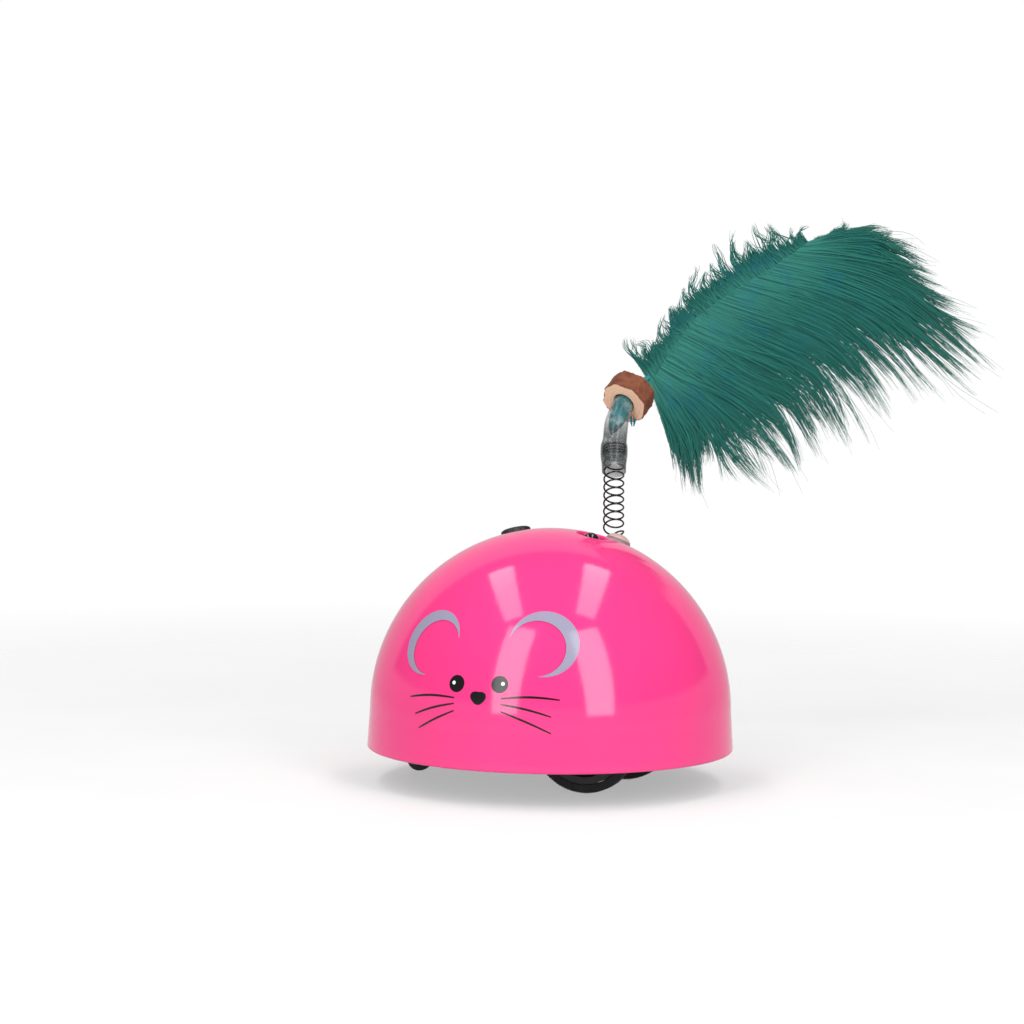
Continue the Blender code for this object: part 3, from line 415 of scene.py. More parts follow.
BLACK = (0.014, 0.014, 0.016)
STEEL = (0.62, 0.62, 0.64)
LOOKS = {
    "shell": shell_look(),
    "base": plastic("base_black", (0.02, 0.02, 0.022), 0.45, 0.4, 0.03),
    "cell": cell_look(),
    "steel": metal("steel", STEEL, 0.28),
    "screw": metal("screw_steel", (0.5, 0.5, 0.52), 0.32),
    "gear": plastic("gear_nylon", (0.74, 0.73, 0.69), 0.4, 0.3, 0.01),
    "brass": metal("brass", (0.75, 0.52, 0.22), 0.25),
    "copper": metal("copper_winding", (0.72, 0.3, 0.14), 0.3, (1, 14, 1)),
    "frame": plastic("frame_grey", (0.22, 0.23, 0.24), 0.45, 0.3, 0.02),
    "hub": plastic("hub_black", (0.018, 0.018, 0.02), 0.4, 0.3, 0.02),
    "tyre": rubber("tyre_rubber", (0.013, 0.013, 0.015)),
    "caster_rubber": rubber("caster_rubber", (0.013, 0.013, 0.015)),
    "board": board_look(),
    "chip": plastic("chip_black", BLACK, 0.4, 0.2, 0.01),
    "button": plastic("button_black", BLACK, 0.3, 0.2, 0.012),
    "lens": lens_look(),
    "lead_red": plastic("lead_red", (0.6, 0.02, 0.02), 0.4, 0.5, 0.01),
    "lead_black": plastic("lead_black", BLACK, 0.4, 0.5, 0.01),
    "lead_white": plastic("lead_white", (0.75, 0.75, 0.72), 0.4, 0.5, 0.01),
    "plug": plastic("plug_beige", (0.60, 0.40, 0.35), 0.42, 0.5, 0.03, 0.2),
    "spring_wire": metal("spring_wire", (0.055, 0.055, 0.06), 0.22, (1, 1, 3)),
    "clear_tube": tube_look(),
    "quill": plastic("quill_teal", (0.02, 0.27, 0.31), 0.3, 0.6, 0.03, 0.9),
    "wood": wood_face_look(),
    "bark": bark_look(),
    "feather": feather_look(),
    "ink_black": ink("ink_black", (0.012, 0.010, 0.012)),
    "ink_grey": ink("ink_grey", (0.33, 0.31, 0.43)),
    "ink_white": ink("ink_white", (0.95, 0.94, 0.96)),
    "ink_red": ink("ink_red", (0.50, 0.03, 0.14)),
}


# ---------------------------------------------------------------- mesh tools

def new_object(name, data):
    """An object in the scene."""
    made = bpy.data.objects.new(name, data)
    bpy.context.scene.collection.objects.link(made)
    return made


def place_piece(name, mesh, body, stands_for=()):
    """Put a mesh in metres in the scene as a piece that rides on a body."""
    piece = new_object(name, mesh)
    if body:
        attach(piece, body)
    if stands_for:
        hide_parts(*stands_for)
    return piece


def add_piece(name, mesh, body, slot, looks=None, sharp=35, stands_for=()):
    """Finish a mesh in millimetres with its looks and place it as a piece."""
    mesh.transform(Matrix.Scale(MM, 4))
    for look in looks or (slot,):
        mesh.materials.append(LOOKS[look])
    mesh.shade_smooth()
    mesh.set_sharp_from_angle(angle=math.radians(sharp))
    return place_piece(name, mesh, body, stands_for)


def loft(name, rings, closed=True, capped=False, joined=False):
    """A mesh through rings of points: closed rings, capped ends, or ends joined in a loop."""
    bm = bmesh.new()
    rows = [[bm.verts.new(point) for point in ring] for ring in rings]
    count = len(rows[0])
    pairs = list(zip(rows, rows[1:])) + ([(rows[-1], rows[0])] if joined else [])
    for first, second in pairs:
        for i in range(count if closed else count - 1):
            j = (i + 1) % count
            bm.faces.new((first[i], first[j], second[j], second[i]))
    if capped:
        bm.faces.new(reversed(rows[0]))
        bm.faces.new(rows[-1])
    bmesh.ops.remove_doubles(bm, verts=bm.verts, dist=1e-4)
    bmesh.ops.recalc_face_normals(bm, faces=bm.faces)
    mesh = bpy.data.meshes.new(name)
    bm.to_mesh(mesh)
    bm.free()
    return mesh


def turned(name, profile, steps=64, centre=(0, 0, 0), axis=UP, radius_at=None):
    """A profile of (radius, height) turned about an axis. radius_at may vary a radius by angle."""
    turn = UP.rotation_difference(Vector(axis))
    rings = []
    for radius, height in profile:
        ring = []
        for i in range(steps):
            angle = 2 * math.pi * i / steps
            r = radius_at(radius, height, angle) if radius_at else radius
            ring.append(Vector(centre) + turn @ Vector((r * math.cos(angle),
                                                        r * math.sin(angle), height)))
        rings.append(ring)
    return loft(name, rings, joined=profile[0][0] > 0 and profile[-1][0] > 0)


def rounded(profile, size, steps=3):
    """A closed or open profile with each of its inner corners rounded to about a size."""
    points = [Vector(p) for p in profile]
    result = [points[0]]
    for before, corner, after in zip(points, points[1:], points[2:]):
        back, on = before - corner, after - corner
        reach = min(size, back.length / 2.2, on.length / 2.2)
        first, last = corner + back.normalized() * reach, corner + on.normalized() * reach
        for i in range(steps + 1):
            t = i / steps
            result.append(first.lerp(corner, t).lerp(corner.lerp(last, t), t))
    return result + [points[-1]]


def smooth_route(points, steps):
    """Points on a smooth curve through rows of numbers, steps to each span."""
    rows = np.array(points, float)
    padded = np.vstack((2 * rows[0] - rows[1], rows, 2 * rows[-1] - rows[-2]))
    result = []
    for a, b, c, d in zip(padded, padded[1:], padded[2:], padded[3:]):
        for t in np.arange(steps) / steps:
            result.append(0.5 * (2 * b + (c - a) * t + (2 * a - 5 * b + 4 * c - d) * t ** 2
                                 + (3 * b - a - 3 * c + d) * t ** 3))
    return result + [rows[-1]]


def sweep(points, radii, sides):
    """Rings round a route, turned as little as possible from one to the next."""
    points = [Vector(p) for p in points]
    ahead = [(b - a).normalized() for a, b in zip([points[0]] + points[:-1],
                                                  points[1:] + [points[-1]])]
    side = ahead[0].orthogonal().normalized()
    rings = []
    for point, direction, radius in zip(points, ahead, radii):
        side = (side - direction * side.dot(direction)).normalized()
        up = direction.cross(side)
        angles = [2 * math.pi * i / sides for i in range(sides)]
        rings.append([point + (side * math.cos(a) + up * math.sin(a)) * radius for a in angles])
    return rings


def merge(mesh, *others):
    """Add the other meshes' faces to the first."""
    bm = bmesh.new()
    for part in (mesh, *others):
        bm.from_mesh(part)
    bm.to_mesh(mesh)
    bm.free()
    return mesh


# ---------------------------------------------------------------- dome

DOME_STEPS = 192
ARC_STEPS = 60
CUT_TOP, CUT_FOOT = 63, 50          # a hole's cutter, from the ball's centre
HOLES = ((BUTTON_XY, BUTTON_RADIUS + 0.35, 0.3), (SENSOR_XY, SENSOR_HOLE, 0.5),
         (PLUG_XY, 3.6, 0.2))       # place, radius and width of the rounded lip
# Under the dome: sleeves as place, inner and outer radius and lower end, and screw posts
SLEEVES = ((BUTTON_XY, 6.6, 7.8, 49.0), (SENSOR_XY, 4.85, 6.2, 50.0))
SLEEVE_TOP = 57.8
POST_CIRCLE, POST_ANGLES = 47, (50, 130, 230, 310)
POST_PROFILE = ((3.3, None), (3.3, 4.6), (3.0, 4.3), (1.4, 4.3), (1.4, 16), (0, 16))


def arc(radius, start, end, steps, centre=(0.0, SPHERE_Z)):
    """Profile points on an arc between two angles above the horizon."""
    angles = [math.radians(start + (end - start) * i / steps) for i in range(steps + 1)]
    return [(max(centre[0] + radius * math.cos(a), 0.0), centre[1] + radius * math.sin(a))
            for a in angles]


def hole_cutter(direction, radius, lip):
    """A cutter for a hole through the dome whose outer edge is rounded over."""
    profile = [(0, CUT_TOP), (radius + 3, CUT_TOP), (radius + 3, DOME_RADIUS + 0.12),
               (radius + lip, DOME_RADIUS - 0.14), (radius + lip * 0.45, DOME_RADIUS - 0.26),
               (radius + lip * 0.12, DOME_RADIUS - 0.48), (radius, DOME_RADIUS - 0.8),
               (radius, CUT_FOOT), (0, CUT_FOOT)]
    sag = radius ** 2 / (2 * DOME_RADIUS)
    profile = [(r, h - sag if CUT_FOOT < h < CUT_TOP else h) for r, h in profile]
    return new_object("cutter", turned("cutter", profile, 96, SPHERE, direction))


def ball_normals(mesh):
    """Gives the faces on the dome's outside the exact normals of a ball, for clean reflections."""
    corners = mesh.corner_normals
    count = len(mesh.loops)
    normals = np.empty(count * 3, np.float32)
    corners.foreach_get("vector", normals)
    normals = normals.reshape(-1, 3)
    places = np.empty(len(mesh.vertices) * 3, np.float32)
    mesh.vertices.foreach_get("co", places)
    out = places.reshape(-1, 3) - np.array(SPHERE)
    distance = np.linalg.norm(out, axis=1)
    on_ball = (np.abs(distance - DOME_RADIUS) < 0.02) & (out[:, 2] > 0.3)
    vertex = np.empty(count, np.int32)
    mesh.loops.foreach_get("vertex_index", vertex)
    for face in mesh.polygons:
        loops = slice(face.loop_start, face.loop_start + face.loop_total)
        corners_of = vertex[loops]
        if on_ball[corners_of].all():
            normals[loops] = out[corners_of] / distance[corners_of][:, None]
    mesh.normals_split_custom_set(normals)


def make_dome():
    """The glossy shell with its holes, and the posts and sleeves under it."""
    edge = 0.7
    flare = (SKIRT_RADIUS - DOME_RADIUS) / (SPHERE_Z - RIM_Z)
    outer = arc(DOME_RADIUS, 90, 0, ARC_STEPS)
    skirt = [(DOME_RADIUS + flare * drop, SPHERE_Z - drop) for drop in (1.5, 4, 7, 10)]
    rim = arc(edge, 0, -180, 8, (SKIRT_RADIUS - edge, RIM_Z + edge))
    rim = [(x - (WALL - 2 * edge) * (i > 4), z) for i, (x, z) in enumerate(rim)]
    inner = arc(INNER_RADIUS, 0, 90, ARC_STEPS // 2)
    shell = new_object("uncut_dome", turned("dome", outer + skirt + rim + inner, DOME_STEPS))
    cutters = [hole_cutter(dome_direction(*xy), radius, lip) for xy, radius, lip in HOLES]
    for cutter in cutters:
        cut = shell.modifiers.new("cut", "BOOLEAN")
        cut.object, cut.operation, cut.solver = cutter, "DIFFERENCE", "MANIFOLD"
    evaluated = shell.evaluated_get(bpy.context.evaluated_depsgraph_get())
    dome = bpy.data.meshes.new_from_object(evaluated)
    for helper in (shell, *cutters):
        bpy.data.objects.remove(helper)

    under = []
    for xy, inside, outside, low in SLEEVES:
        sleeve = rounded([(inside, SLEEVE_TOP), (inside, low), (outside, low),
                          (outside, SLEEVE_TOP)], 0.3)
        under.append(turned("sleeve", sleeve, 64, SPHERE, dome_direction(*xy)))
    for angle in map(math.radians, POST_ANGLES):
        x, y = POST_CIRCLE * math.cos(angle), POST_CIRCLE * math.sin(angle)
        rings = []
        for radius, height in POST_PROFILE:
            ring = []
            for i in range(32):
                turn = 2 * math.pi * i / 32
                px, py = x + radius * math.cos(turn), y + radius * math.sin(turn)
                top = SPHERE_Z + math.sqrt((DOME_RADIUS - 1.1) ** 2 - px * px - py * py)
                ring.append((px, py, top if height is None else height))
            rings.append(ring)
        under.append(loft("post", rings))
    merge(dome, *under)
    dome.shade_smooth()
    dome.set_sharp_from_angle(angle=math.radians(28))
    ball_normals(dome)
    dome.transform(Matrix.Scale(MM, 4))
    dome.materials.clear()
    dome.materials.append(LOOKS["shell"])
    place_piece("dome", dome, "chassis", ("dome_shell",))


# ---------------------------------------------------------------- printed face

PRINT_ROLL = math.radians(2.2)
PRINT_SHIFT = 1.3                   # degrees that the print is off the middle
INK_LOW, INK_HIGH = 0.02, 0.07      # how far the ink's two sides stand off the dome
EYE, EYE_RADIUS = (7.3, 13.9), 2.62  # degrees from the middle, above level, and its size
WHISKER = 0.68                      # degrees thick
# Whiskers: their inner and outer end, in degrees as the eyes, and how far they bow upwards
WHISKERS = (((7.8, 9.6), (25.85, 9.0), 0.7), ((7.85, 7.85), (23.1, 4.0), 0.45),
            ((7.8, 5.7), (23.0, -1.0), 0.3))


def face_place(azimuth, latitude):
    """The direction to a place of the print, in degrees from straight ahead and above level."""
    a, b = math.radians(azimuth + PRINT_SHIFT), math.radians(latitude)
    level = Vector((math.sin(a) * math.cos(b), -math.cos(a) * math.cos(b), math.sin(b)))
    return Matrix.Rotation(-PRINT_ROLL, 3, "Y") @ level


def around(centre, angle, distance):
    """The direction that lies a distance in degrees from another, towards an angle in degrees."""
    east = Vector((0, 0, 1)).cross(centre).normalized()
    north = centre.cross(east)
    turn, away = math.radians(angle), math.radians(distance)
    return (centre * math.cos(away)
            + (east * math.cos(turn) + north * math.sin(turn)) * math.sin(away))


def add_ink(name, patches, look):
    """Thin closed patches of ink on the dome. A patch is rows of directions."""
    meshes = []
    for rows, closed in patches:
        rings = [[SPHERE + d * (DOME_RADIUS + INK_LOW) for d in row] for row in rows]
        mesh = loft(name, rings, closed=closed)
        bm = bmesh.new()
        bm.from_mesh(mesh)
        grown = bmesh.ops.extrude_face_region(bm, geom=bm.faces[:])
        for item in grown["geom"]:
            if isinstance(item, bmesh.types.BMVert):
                item.co = SPHERE + (item.co - SPHERE).normalized() * (DOME_RADIUS + INK_HIGH)
        bmesh.ops.recalc_face_normals(bm, faces=bm.faces)
        bm.to_mesh(mesh)
        bm.free()
        meshes.append(mesh)
    return add_piece(name, merge(*meshes), "chassis", "shell", (look,), 50)


def blob(centre, outline, rings=7, steps=48):
    """A filled patch round a centre, whose edge distance in degrees is a function of the angle."""
    rows = []
    for ring in range(rings + 1):
        row = []
        for step in range(steps):
            angle = 360 * step / steps
            row.append(around(centre, angle, max(outline(angle), 0.001) * ring / rings))
        rows.append(row)
    return rows, True


def crescent(side):
    """The rows of one ear, between a larger ring and a smaller one nearer to the nose."""
    centre = face_place(side * 21.45, 26.65)
    outer, inner = 10.65, 8.94
    shift_east, shift_north = -side * 2.3, -1.58

    def inside(angle):
        turn = math.radians(angle)
        along = shift_east * math.cos(turn) + shift_north * math.sin(turn)
        return along + math.sqrt(along ** 2 - shift_east ** 2 - shift_north ** 2 + inner ** 2)

    open_angle = math.degrees(math.atan2(shift_north, shift_east))
    angles = [open_angle + 360 * i / 720 for i in range(721)]
    shown = [a for a in angles if inside(a) < outer]
    start, end = shown[0], shown[-1]
    rows, edge = [], []
    for i in range(97):
        angle = start + (end - start) * i / 96
        near = min(inside(angle), outer - 0.02)
        rows.append([around(centre, angle, near + (outer - near) * j / 5) for j in range(6)])
        line = 0.28 * math.sin(math.pi * i / 96) ** 0.3
        edge.append([around(centre, angle, near - line * j / 2) for j in range(3)])
    return (rows, False), (edge[3:-3], False)


def whisker(side, start, end, bow):
    """The rows of one whisker, from near the nose outwards, thinner at its ends."""
    rows = []
    for i in range(33):
        t = i / 32
        azimuth = side * (start[0] + (end[0] - start[0]) * t)
        latitude = start[1] + (end[1] - start[1]) * t + bow * math.sin(math.pi * t)
        width = WHISKER / 2 * (0.45 + 0.55 * math.sin(math.pi * min(max(t, 0.02), 0.98)) ** 0.5)
        rows.append([face_place(azimuth, latitude + width * j / 2) for j in (-2, -1, 0, 1, 2)])
    return rows, False


def make_print():
    """Ears, eyes, nose and whiskers in ink."""
    ears = [crescent(side) for side in (-1, 1)]
    add_ink("print_ears", [ear for ear, _ in ears], "ink_grey")
    add_ink("print_ear_edges", [edge for _, edge in ears], "ink_red")
    eyes = [blob(face_place(side * EYE[0], EYE[1]), lambda angle: EYE_RADIUS) for side in (-1, 1)]

    def nose(angle):
        """A triangle with round corners and its point down."""
        turn = math.radians(angle + 90)
        return (2.25 + 0.22 * math.cos(3 * turn)) * (1 - 0.12 * math.cos(2 * turn))

    whiskers = [whisker(side, *line) for side in (-1, 1) for line in WHISKERS]
    add_ink("print_face", eyes + [blob(face_place(0.35, 9.8), nose)] + whiskers, "ink_black")
    glints = []
    for side in (-1, 1):
        centre = around(face_place(side * EYE[0], EYE[1]), 0 if side > 0 else 180, 1.0)
        glints.append(blob(around(centre, 90, 0.2), lambda angle: 0.58, 3, 24))
    for rows, _ in glints:
        for row in rows:
            row[:] = [d * (1 + INK_HIGH / DOME_RADIUS) for d in row]
    add_glints(glints)


def add_glints(patches):
    """The white glints, printed over the black of the eyes."""
    meshes = []
    for rows, closed in patches:
        low = [[SPHERE + d.normalized() * (DOME_RADIUS + INK_HIGH + 0.01) for d in row]
               for row in rows]
        high = [SPHERE + (p - SPHERE) * (1 + 0.03 / DOME_RADIUS) for p in low[-1]]
        meshes.append(loft("glint", low + [high], closed=closed))
        lid = [[SPHERE + (p - SPHERE) * (1 + 0.03 / DOME_RADIUS) for p in row] for row in low]
        meshes.append(loft("glint_lid", lid, closed=closed))
    mesh = merge(*meshes)
    bm = bmesh.new()
    bm.from_mesh(mesh)
    bmesh.ops.remove_doubles(bm, verts=bm.verts, dist=1e-4)
    bmesh.ops.recalc_face_normals(bm, faces=bm.faces)
    bm.to_mesh(mesh)
    bm.free()
    add_piece("print_eye_glints", mesh, "chassis", "shell", ("ink_white",), 50)


# ---------------------------------------------------------------- top of the dome

def make_top_parts():
    """The power button, the sensor window with its bezel, and the tail's plug."""
    out = dome_direction(*BUTTON_XY)
    top = DOME_RADIUS + 1.8

    def ridges(radius, height, angle):
        """Grip ridges round the button's edge."""
        gripped = radius > BUTTON_RADIUS - 0.05 and height > 57.5
        return radius - 0.12 * (1 + math.cos(40 * angle)) / 2 if gripped else radius

    profile = [(0, top - 0.35), (2.6, top - 0.3), (3.4, top - 0.05), (4.4, top - 0.1),
               (4.75, top - 0.3), (BUTTON_RADIUS, top - 0.6), (BUTTON_RADIUS, 58.0),
               (BUTTON_RADIUS - 0.1, 57.4), (BUTTON_RADIUS - 0.1, 56.6), (6.2, 56.6), (6.2, 55.4),
               (4.0, 55.4), (4.0, 53.5), (0, 53.5)]
    button = turned("button", profile, 320, SPHERE, out, ridges)
    add_piece("button_cap", button, "button", "button", stands_for=("power_button",))

    out = dome_direction(*SENSOR_XY)
    dome = [(3.0 * math.sin(math.radians(a)), 57.4 + 2.7 * math.cos(math.radians(a)))
            for a in range(0, 91, 6)]
    lens = turned("lens", dome + [(3.0, 51.6), (0, 51.6)], 64, SPHERE, out)
    add_piece("sensor_window", lens, "chassis", "lens", stands_for=("sensor_lens",))
    bezel = [(3.8, 57.1), (4.3, 56.95), (4.45, 56.6), (4.45, 51.6), (3.2, 51.6), (3.2, 56.8),
             (3.35, 57.05)]
    bezel = turned("bezel", bezel, 64, SPHERE, out)
    add_piece("sensor_ring", bezel, "chassis", "chip", stands_for=("sensor_bezel",))

    out = dome_direction(*PLUG_XY)
    crown, edge = 62.4, 60.2
    profile = rounded([(0, crown), (1.8, crown - 0.2), (3.2, crown - 0.9), (4.0, crown - 1.65),
                       (PLUG_RADIUS, edge + 0.35), (PLUG_RADIUS, edge + 0.1), (3.3, edge),
                       (3.3, 51), (0, 51)], 0.25)
    plug = turned("plug", profile, 64, SPHERE, out)
    add_piece("plug_cap", plug, "chassis", "plug", stands_for=("tail_plug",))
    gasket = [(PLUG_RADIUS + 0.12, 60.18), (PLUG_RADIUS + 0.2, 60.0), (PLUG_RADIUS + 0.2, 59.4),
              (3.7, 59.4), (3.7, 60.18)]
    gasket = turned("gasket", gasket, 64, SPHERE, out)
    add_piece("plug_gasket", gasket, "chassis", "frame")


# ---------------------------------------------------------------- wheels

def make_tyre(name, side):
    """A thin rubber tyre, finely knurled across its tread, with rounded shoulders."""
    low, high = (side * t for t in TREAD)
    if side < 0:
        low, high = high, low
    middle, half = (low + high) / 2, (high - low) / 2

    def knurled(radius, height, angle):
        """Pointed ridges on the tread."""
        share = max(0.0, (radius - (DRIVE_RADIUS - 0.9)) / 0.9)
        wave = abs((angle * KNURLS / (2 * math.pi)) % 1 * 2 - 1)
        return radius - KNURL_DEPTH * share * wave

    bore = HUB_RADIUS + 0.02
    profile = [(bore, -half + 0.2), (bore + 0.2, -half), (DRIVE_RADIUS - 0.9, -half),
               (DRIVE_RADIUS - 0.15, -half + 0.02), (DRIVE_RADIUS, -half + 0.15),
               (DRIVE_RADIUS, half - 0.15), (DRIVE_RADIUS - 0.15, half - 0.02),
               (DRIVE_RADIUS - 0.9, half), (bore + 0.2, half), (bore, half - 0.2)]
    mesh = turned("tyre", profile, KNURLS * 8, (AXLE_X, middle, AXLE_Z), (0, 1, 0), knurled)
    add_piece(f"tyre_ring_{name}", mesh, "drive_axle", "tyre", stands_for=(f"tyre_{name}",))


# ---------------------------------------------------------------- tail spring and wand

SPRING_AXIS = ((-0.5, 0.6, 69.0), (-0.5, 4.0, 72.9), (-0.45, 8.1, 78.0), (-0.4, 12.2, 83.1),
               (-0.35, 16.2, 88.1), (-0.35, 17.8, 90.6), (-0.35, 19.0, 92.9), (-0.3, 20.7, 96.5))
OPEN_TURNS, CLOSED_TURNS = 9.15, 4
COIL, CLOSED_COIL, WIRE = 3.3, 3.7, 0.3
NOD, SWAY = (-0.47, 5.8, 75.2), (-0.44, 10.0, 80.4)      # the two hinges it bends over
TUBE_WALL = 0.3
TUBE_ROUTE = ((-0.35, 16.2, 88.1, 4.1), (-0.35, 17.8, 90.6, 4.2), (-0.35, 19.0, 92.9, 4.5),
              (-0.3, 20.7, 96.5, 4.5), (-0.1, 21.5, 98.6, 4.1), (0.35, 23.1, 103.4, 4.1),
              (0.9, 24.6, 105.7, 3.9), (2.0, 27.0, 108.7, 3.8), (2.9, 29.0, 110.8, 3.7),
              (4.3, 31.2, 112.6, 3.6))
QUILL_ROUTE = ((-1.3, 22.0, 100.2, 0.2), (-0.7, 22.6, 102.2, 1.6), (0.3, 23.6, 104.6, 2.6),
               (1.3, 25.4, 107.0, 3.0), (2.5, 27.9, 109.7, 3.1), (4.3, 31.1, 112.6, 2.9),
               (6.5, 34.0, 115.3, 2.2), (9.2, 36.2, 117.6, 1.5), (11.6, 37.2, 119.6, 0.8))
BEAD_NEAR, BEAD_FAR = tail_point(2.9, 29.0, 110.8), tail_point(6.5, 34.0, 115.3)
BEAD_RADIUS, BEAD_HOLE = 8.6, 3.9


def spring_points(steps):
    """The wire's centreline, with so many steps to a turn, and the number that lie below NOD's
    and SWAY's middle, where the spring's two meshes meet."""
    span = 8
    axis = [tail_point(*p) for p in smooth_route(SPRING_AXIS, span)]
    axis = [2 * axis[0] - axis[1]] + axis + [2 * axis[-1] - axis[-2]]
    lengths = np.cumsum([0.0] + [(b - a).length for a, b in zip(axis, axis[1:])])
    lengths -= lengths[1]
    ends = (lengths[1], lengths[-2 - span], lengths[-2])
    total = OPEN_TURNS + CLOSED_TURNS

    def spot(distance):
        return Vector([np.interp(distance, lengths, [p[k] for p in axis]) for k in range(3)])

    points = []
    for i in range(-int(0.4 * steps), int(total * steps) + 1):
        turn = i / steps
        place = np.interp(turn, (0.0, OPEN_TURNS, total), ends)
        up = (spot(place + 0.2) - spot(place)).normalized()
        side = (ALONG - up * ALONG.dot(up)).normalized()
        radius = np.interp(turn, (OPEN_TURNS, OPEN_TURNS + 2), (COIL, CLOSED_COIL))
        angle = 2 * math.pi * turn
        out = (side * math.cos(angle) + up.cross(side) * math.sin(angle)) * radius
        if turn < 0:
            # the wire's end winds in and runs down into the plug
            out = out * (1 + 1.6 * turn) + UP * 9.0 * turn
        points.append(spot(place) + out)
    middle = (tail_point(*NOD) + tail_point(*SWAY)) / 2
    ahead = (tail_point(*SWAY) - tail_point(*NOD)).normalized()
    below = next(i for i, p in enumerate(points) if (p - middle).dot(ahead) > 0)
    return points, below


def make_spring():
    """The spring in two lengths, because it bends over two hinges."""
    points, split = spring_points(40)
    rings = sweep(points, [WIRE] * len(points), 10)
    lower = add_piece("spring_lower", loft("lower", rings[:split + 1], capped=True), None,
                      "spring_wire")
    upper = add_piece("spring_upper", loft("upper", rings[split:], capped=True), None,
                      "spring_wire", stands_for=("tail_spring",))
    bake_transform(lower)
    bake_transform(upper)


def make_tube():
    """The soft tube over the spring's closed turns, which press through it as low ribs."""
    route = smooth_route(TUBE_ROUTE, 16)
    low, high = SPRING_AXIS[-2][2], SPRING_AXIS[-1][2]
    pitch = (high - low) / CLOSED_TURNS

    def ribbed(height, radius):
        band = min(max(0.0, 1 - abs(height - (low + high) / 2) / 2.6) * 2, 1.0)
        return radius + 0.1 * band * math.cos(2 * math.pi * (height - low) / pitch)

    points = [tail_point(*row[:3]) for row in route]
    outside = sweep(points, [ribbed(*row[2:]) for row in route], 48)
    inside = sweep(points, [row[3] - TUBE_WALL for row in route], 48)
    lips = []
    for i, reach in ((0, points[0] - points[1]), (-1, points[-1] - points[-2])):
        out = reach.normalized() * 0.12
        lips.append([p.lerp(q, 0.5) + out for p, q in zip(outside[i], inside[i])])
    rings = [lips[0]] + outside + [lips[1]] + inside[::-1]
    add_piece("tube", loft("tube", rings, joined=True), "wand", "clear_tube",
              stands_for=("clear_tube",))
    quill = smooth_route(QUILL_ROUTE, 8)
    rings = sweep([tail_point(*row[:3]) for row in quill], [row[3] for row in quill], 28)
    add_piece("quill", loft("quill", rings, capped=True), "wand", "quill",
              stands_for=("feather_quill",))


def make_bead():
    """A slice of branch with a hole: a wooden face either side and faceted bark round it."""
    axis = BEAD_FAR - BEAD_NEAR
    length = axis.length
    facets = ((0.3, 0.97), (1.05, 1.0), (1.9, 0.95), (2.6, 1.0), (3.4, 0.96), (4.1, 1.0),
              (4.9, 0.95), (5.7, 0.99))

    def outline(angle):
        """The slice's edge: the nearest of some flat sides, a little rounded."""
        sides = [share * 0.93 / max(math.cos(angle - turn), 0.05) for turn, share in facets]
        return BEAD_RADIUS * min(1.0, -math.log(sum(math.exp(-30 * s) for s in sides)) / 30)

    def radius_at(radius, height, angle):
        if radius <= BEAD_HOLE:
            return radius
        share = (radius - BEAD_HOLE) / (BEAD_RADIUS - BEAD_HOLE)
        rough = 0.10 * math.sin(17 * angle + height) + 0.08 * math.sin(29 * angle - 1.7 * height)
        edge = outline(angle) + (rough if share > 0.9 else 0.0)
        return BEAD_HOLE + (edge - BEAD_HOLE) * share

    across = [BEAD_HOLE + (BEAD_RADIUS - BEAD_HOLE) * share for share in (0, .08, .3, .6, .85, .97)]
    heights = (0.0, 0.25, 0.7, 1.5, 2.6, 3.8, 5.0, 6.2, 7.2, length - 0.25, length)
    profile = ([(r, 0.06 if r == BEAD_HOLE else 0.0) for r in across]
               + [(BEAD_RADIUS - (0.12 if i in (0, 10) else 0.0), h)
                  for i, h in enumerate(heights)]
               + [(r, length) for r in reversed(across)])
    mesh = turned("bead", profile, 144, BEAD_NEAR, axis, radius_at)
    turn = UP.rotation_difference(axis).inverted()
    chart = mesh.uv_layers.new(name="bead")
    local = [turn @ (v.co - BEAD_NEAR) for v in mesh.vertices]
    for face in mesh.polygons:
        middle = sum((local[v] for v in face.vertices), Vector()) / len(face.vertices)
        facing = abs((turn @ face.normal).z)
        on_side = facing < 0.6 and Vector((middle.x, middle.y)).length > BEAD_HOLE + 0.6
        face.material_index = 1 if on_side else 0
        for loop in face.loop_indices:
            place = local[mesh.loops[loop].vertex_index]
            angle = math.atan2(place.y, place.x) / (2 * math.pi) % 1
            if angle < 0.1 and math.atan2(middle.y, middle.x) < 0:
                angle += 1
            out = Vector((place.x, place.y)).length / outline(angle * 2 * math.pi)
            chart.data[loop].uv = (place.z / length if on_side else out, angle)
    add_piece("bead", mesh, "wand", "wood", ("wood", "bark"), 40, ("wooden_bead",))


def make_thread():
    """A loop of teal thread that hangs below the bead."""
    centre = tail_point(6.2, 31.0, 105.6)
    loop = []
    for i in range(41):
        t = 2 * math.pi * (i / 40 * 0.86 - 0.18)
        loop.append(centre + ALONG * (0.75 * math.cos(t)) + BEHIND * (0.5 * math.sin(3 * t) * 0.4)
                    + UP * (2.1 * math.sin(t) - 0.4))
    loop.insert(0, centre + UP * 3.4 + BEHIND * 0.6 + ALONG * 0.3)
    loop.append(centre + UP * 3.2 + BEHIND * 0.6 - ALONG * 0.6)
    route = smooth_route([tuple(p) for p in loop], 3)
    strands = []
    for phase in (0, math.pi):
        points = []
        for i, point in enumerate(route):
            twist = phase + i * 0.5
            off = ALONG * math.cos(twist) + BEHIND * math.sin(twist)
            points.append(Vector(point) + off * 0.1)
        strands.append(loft("strand", sweep(points, [0.15] * len(points), 8), capped=True))
    add_piece("thread_loop", merge(*strands), "wand", "quill", ("quill",))


# ---------------------------------------------------------------- feather

